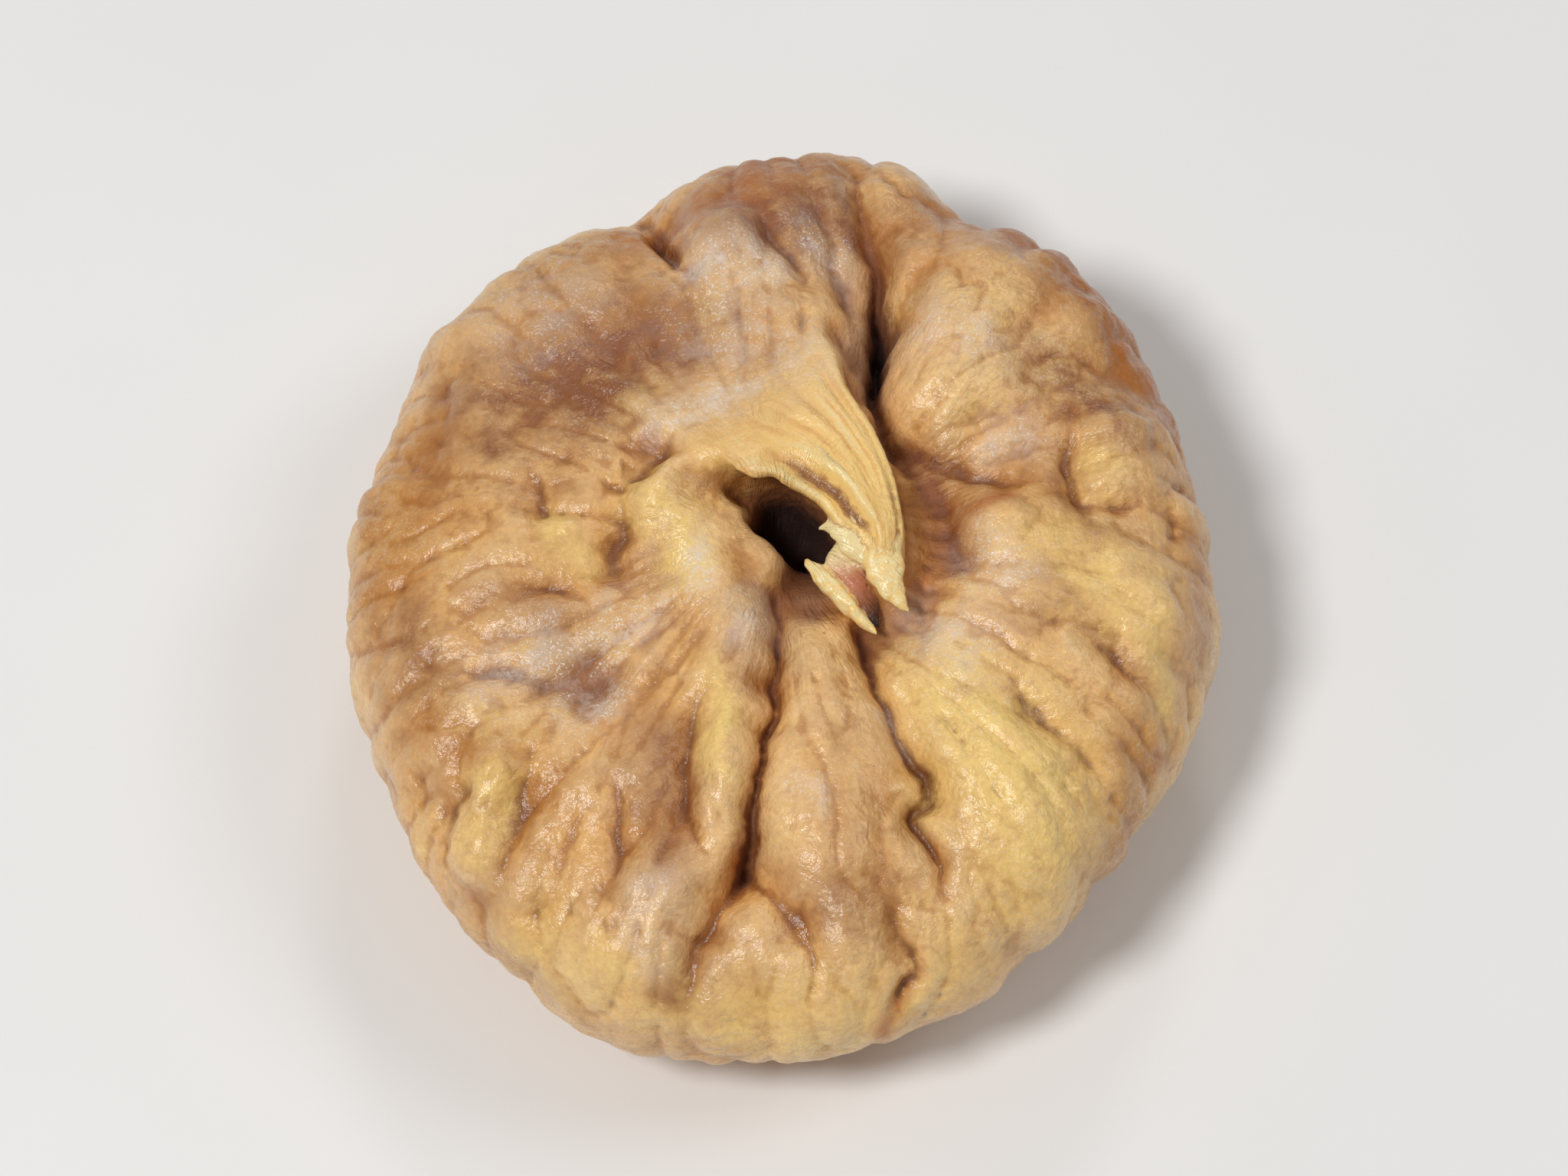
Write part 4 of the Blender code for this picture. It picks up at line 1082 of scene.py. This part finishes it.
def with_ends(paint, colour, small):
    """The colour with the eye's scales and painted shade between them, the torn lips, and painted shade in
    the deep pit.
    """
    mark, step, mix = paint.mark, paint.step, paint.mix
    # painted shade in the hollows between the eye's scales
    colour = mix(mark("eye"), colour, mix(step(mark("fine_hollow"), 0.0, 0.08), CREAM, SHADE_BROWN))
    colour = mix(mark("lip"), colour, mix(step(small, 0.35, 0.6), STRAW, LIP))
    inside = mix(step(mark("along"), 0.25, 0.5), LIP, SALMON)
    inside = mix(step(mark("along"), 0.55, 0.95), inside, DARK_BROWN)
    colour = mix(mark("core"), colour, inside)
    colour = mix(mark("scrap"), colour, LIP)
    # painted shade: the pit darkens with its depth
    rows = (
        (mark("depth"), 2.2, 3.6, 0.8, SHADE_BROWN),
        (mark("depth"), 3.2, 5.0, 1.0, DARK_BROWN),
    )
    return paint.shaded(colour, rows)


def skin_relief(paint, lines, leather, fibres, grains):
    """The normal of the skin's finest relief: each row is a height, its distance and strength."""
    coarse_lines, fine_lines = lines
    rows = (
        (paint.step(coarse_lines, 0.0, 0.3), 0.05 * MM, 0.8),
        (paint.step(fine_lines, 0.0, 0.3), 0.025 * MM, 0.8),
        (leather, LEATHER_RELIEF, 0.7),
        (paint.noise(PORE_SIZE, 2.0, 0.7), 0.04 * MM, 0.8),
        (paint.times(fibres, paint.mark("neck")), 0.12 * MM, 0.9),
        (grains, 0.015 * MM, 0.9),
    )
    normal = None
    for height, distance, strength in rows:
        normal = paint.bump(height, distance, normal, strength)
    return normal


def fig_material():
    """The skin's colours, gloss and finest relief, by its marks and by noises of several sizes."""
    paint = Paint("fig_skin_look")
    mark, step, maths, times = paint.mark, paint.step, paint.maths, paint.times
    wide = paint.noise(WIDE_SIZE, 4.0, 0.65, paint.shifted(0.03))
    medium = paint.noise(MEDIUM_SIZE, 5.0, 0.65)
    small = paint.noise(SMALL_SIZE, 3.0, 0.7)
    leather = paint.noise(LEATHER_SIZE, 3.0, 0.6)
    lines = [skin_lines(paint, *net) for net in (COARSE_NET, FINE_NET)]
    fibres = neck_fibres(paint)
    haze, grains = sugar_bloom(paint, wide, medium, small)

    colour = skin_colour(paint, wide, medium, small)
    colour = paint.mix(mark("neck"), colour, straw_colour(paint, fibres))
    colour = with_lines_and_shade(paint, colour, medium, *lines)
    colour = paint.mix(maths("MINIMUM", maths("ADD", haze, grains), BLOOM_MOST), colour, BLOOM)
    colour = with_ends(paint, colour, small)

    rough = step(medium, 0.3, 0.7, 0.22, 0.42)
    rough = maths("ADD", rough, times(haze, 0.25))
    rough = maths("MAXIMUM", rough, step(mark("depth"), 1.5, 3.0, 0.2, 0.8))
    sunken = maths("MAXIMUM", mark("crease"), times(mark("depth"), 0.3))
    linked = {
        "Base Color": colour,
        "Roughness": rough,
        "Normal": skin_relief(paint, lines, leather, fibres, grains),
        "Coat Weight": step(sunken, 0.15, 0.6, 0.3, 0.0),
        "Coat Normal": paint.bump(leather, LEATHER_RELIEF),
    }
    paint.feed(paint.shader, linked | SKIN_SOCKETS)
    return paint.material


def skin_lines(paint, around, lengthways):
    """A net of thin lines drawn out from the pit: 0 on a line, and up to 1 inside its cells."""
    inputs = {0: paint.mark("ring", "Vector"), 1: (around, around, lengthways)}
    stretched = paint.made("ShaderNodeVectorMath", 0, inputs, operation="MULTIPLY")
    inputs = {"Vector": paint.place(), "Scale": 1 / NET_BEND_SIZE}
    bends = paint.made("ShaderNodeTexNoise", "Color", inputs)
    inputs = {0: bends, 1: (NET_BENDS,) * 3, 2: stretched}
    bent = paint.made("ShaderNodeVectorMath", 0, inputs, operation="MULTIPLY_ADD")
    inputs = {"Vector": bent, "Scale": 1.0}
    net = paint.made("ShaderNodeTexVoronoi", "Distance", inputs, feature="DISTANCE_TO_EDGE")
    gaps = paint.noise(NET_PATCH_SIZE, 2.0, 0.5, paint.shifted(around * MM))
    return paint.maths("ADD", net, paint.step(gaps, 0.42, 0.6, 0.5, 0.0))


def floor_material():
    paint = Paint("pale_floor")
    colour = paint.mix(paint.noise(FLOOR_TONE_SIZE, 2.0), *FLOOR_TONES)
    paint.feed(paint.shader, {"Base Color": colour, "Roughness": FLOOR_ROUGHNESS})
    return paint.material


def pale_floor():
    shaper = bmesh.new()
    bmesh.ops.create_grid(shaper, x_segments=1, y_segments=1, size=FLOOR_HALF)
    floor = new_object("floor", new_mesh("floor", shaper))
    floor.data.materials.append(floor_material())


def soft_light(name, place, size, power):
    light = bpy.data.lights.new(name, "AREA")
    light.shape = "DISK"
    light.size = size
    light.energy = power
    obj = new_object(name, light)
    obj.location = place
    obj.rotation_euler = (Vector(CAMERA_AIM) - Vector(place)).to_track_quat("-Z", "Y").to_euler()


def studio():
    """The lights, a plain pale surround, and colours shown as they are."""
    for name, (place, size, power) in LIGHTS.items():
        soft_light(name, place, size, power)
    world = bpy.data.worlds.new("studio")
    world.use_nodes = True
    background = world.node_tree.nodes["Background"]
    background.inputs["Color"].default_value = WORLD_COLOUR
    background.inputs["Strength"].default_value = WORLD_STRENGTH
    bpy.context.scene.world = world
    bpy.context.scene.view_settings.view_transform = "Standard"


def photo_camera():
    camera = bpy.data.cameras.new("camera")
    camera.lens = CAMERA_LENS
    obj = new_object("camera", camera)
    back = Vector((0, -math.cos(CAMERA_ELEVATION), math.sin(CAMERA_ELEVATION)))
    obj.location = Vector(CAMERA_AIM) + CAMERA_DISTANCE * back
    obj.rotation_euler = (-back).to_track_quat("-Z", "Y").to_euler()
    bpy.context.scene.camera = obj


noise.seed_set(NOISE_SEED)
fig = fine_fig()
fig.data.materials.clear()
fig.data.materials.append(fig_material())
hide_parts("dried_fig")
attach(fig, "root")
pale_floor()
studio()
photo_camera()
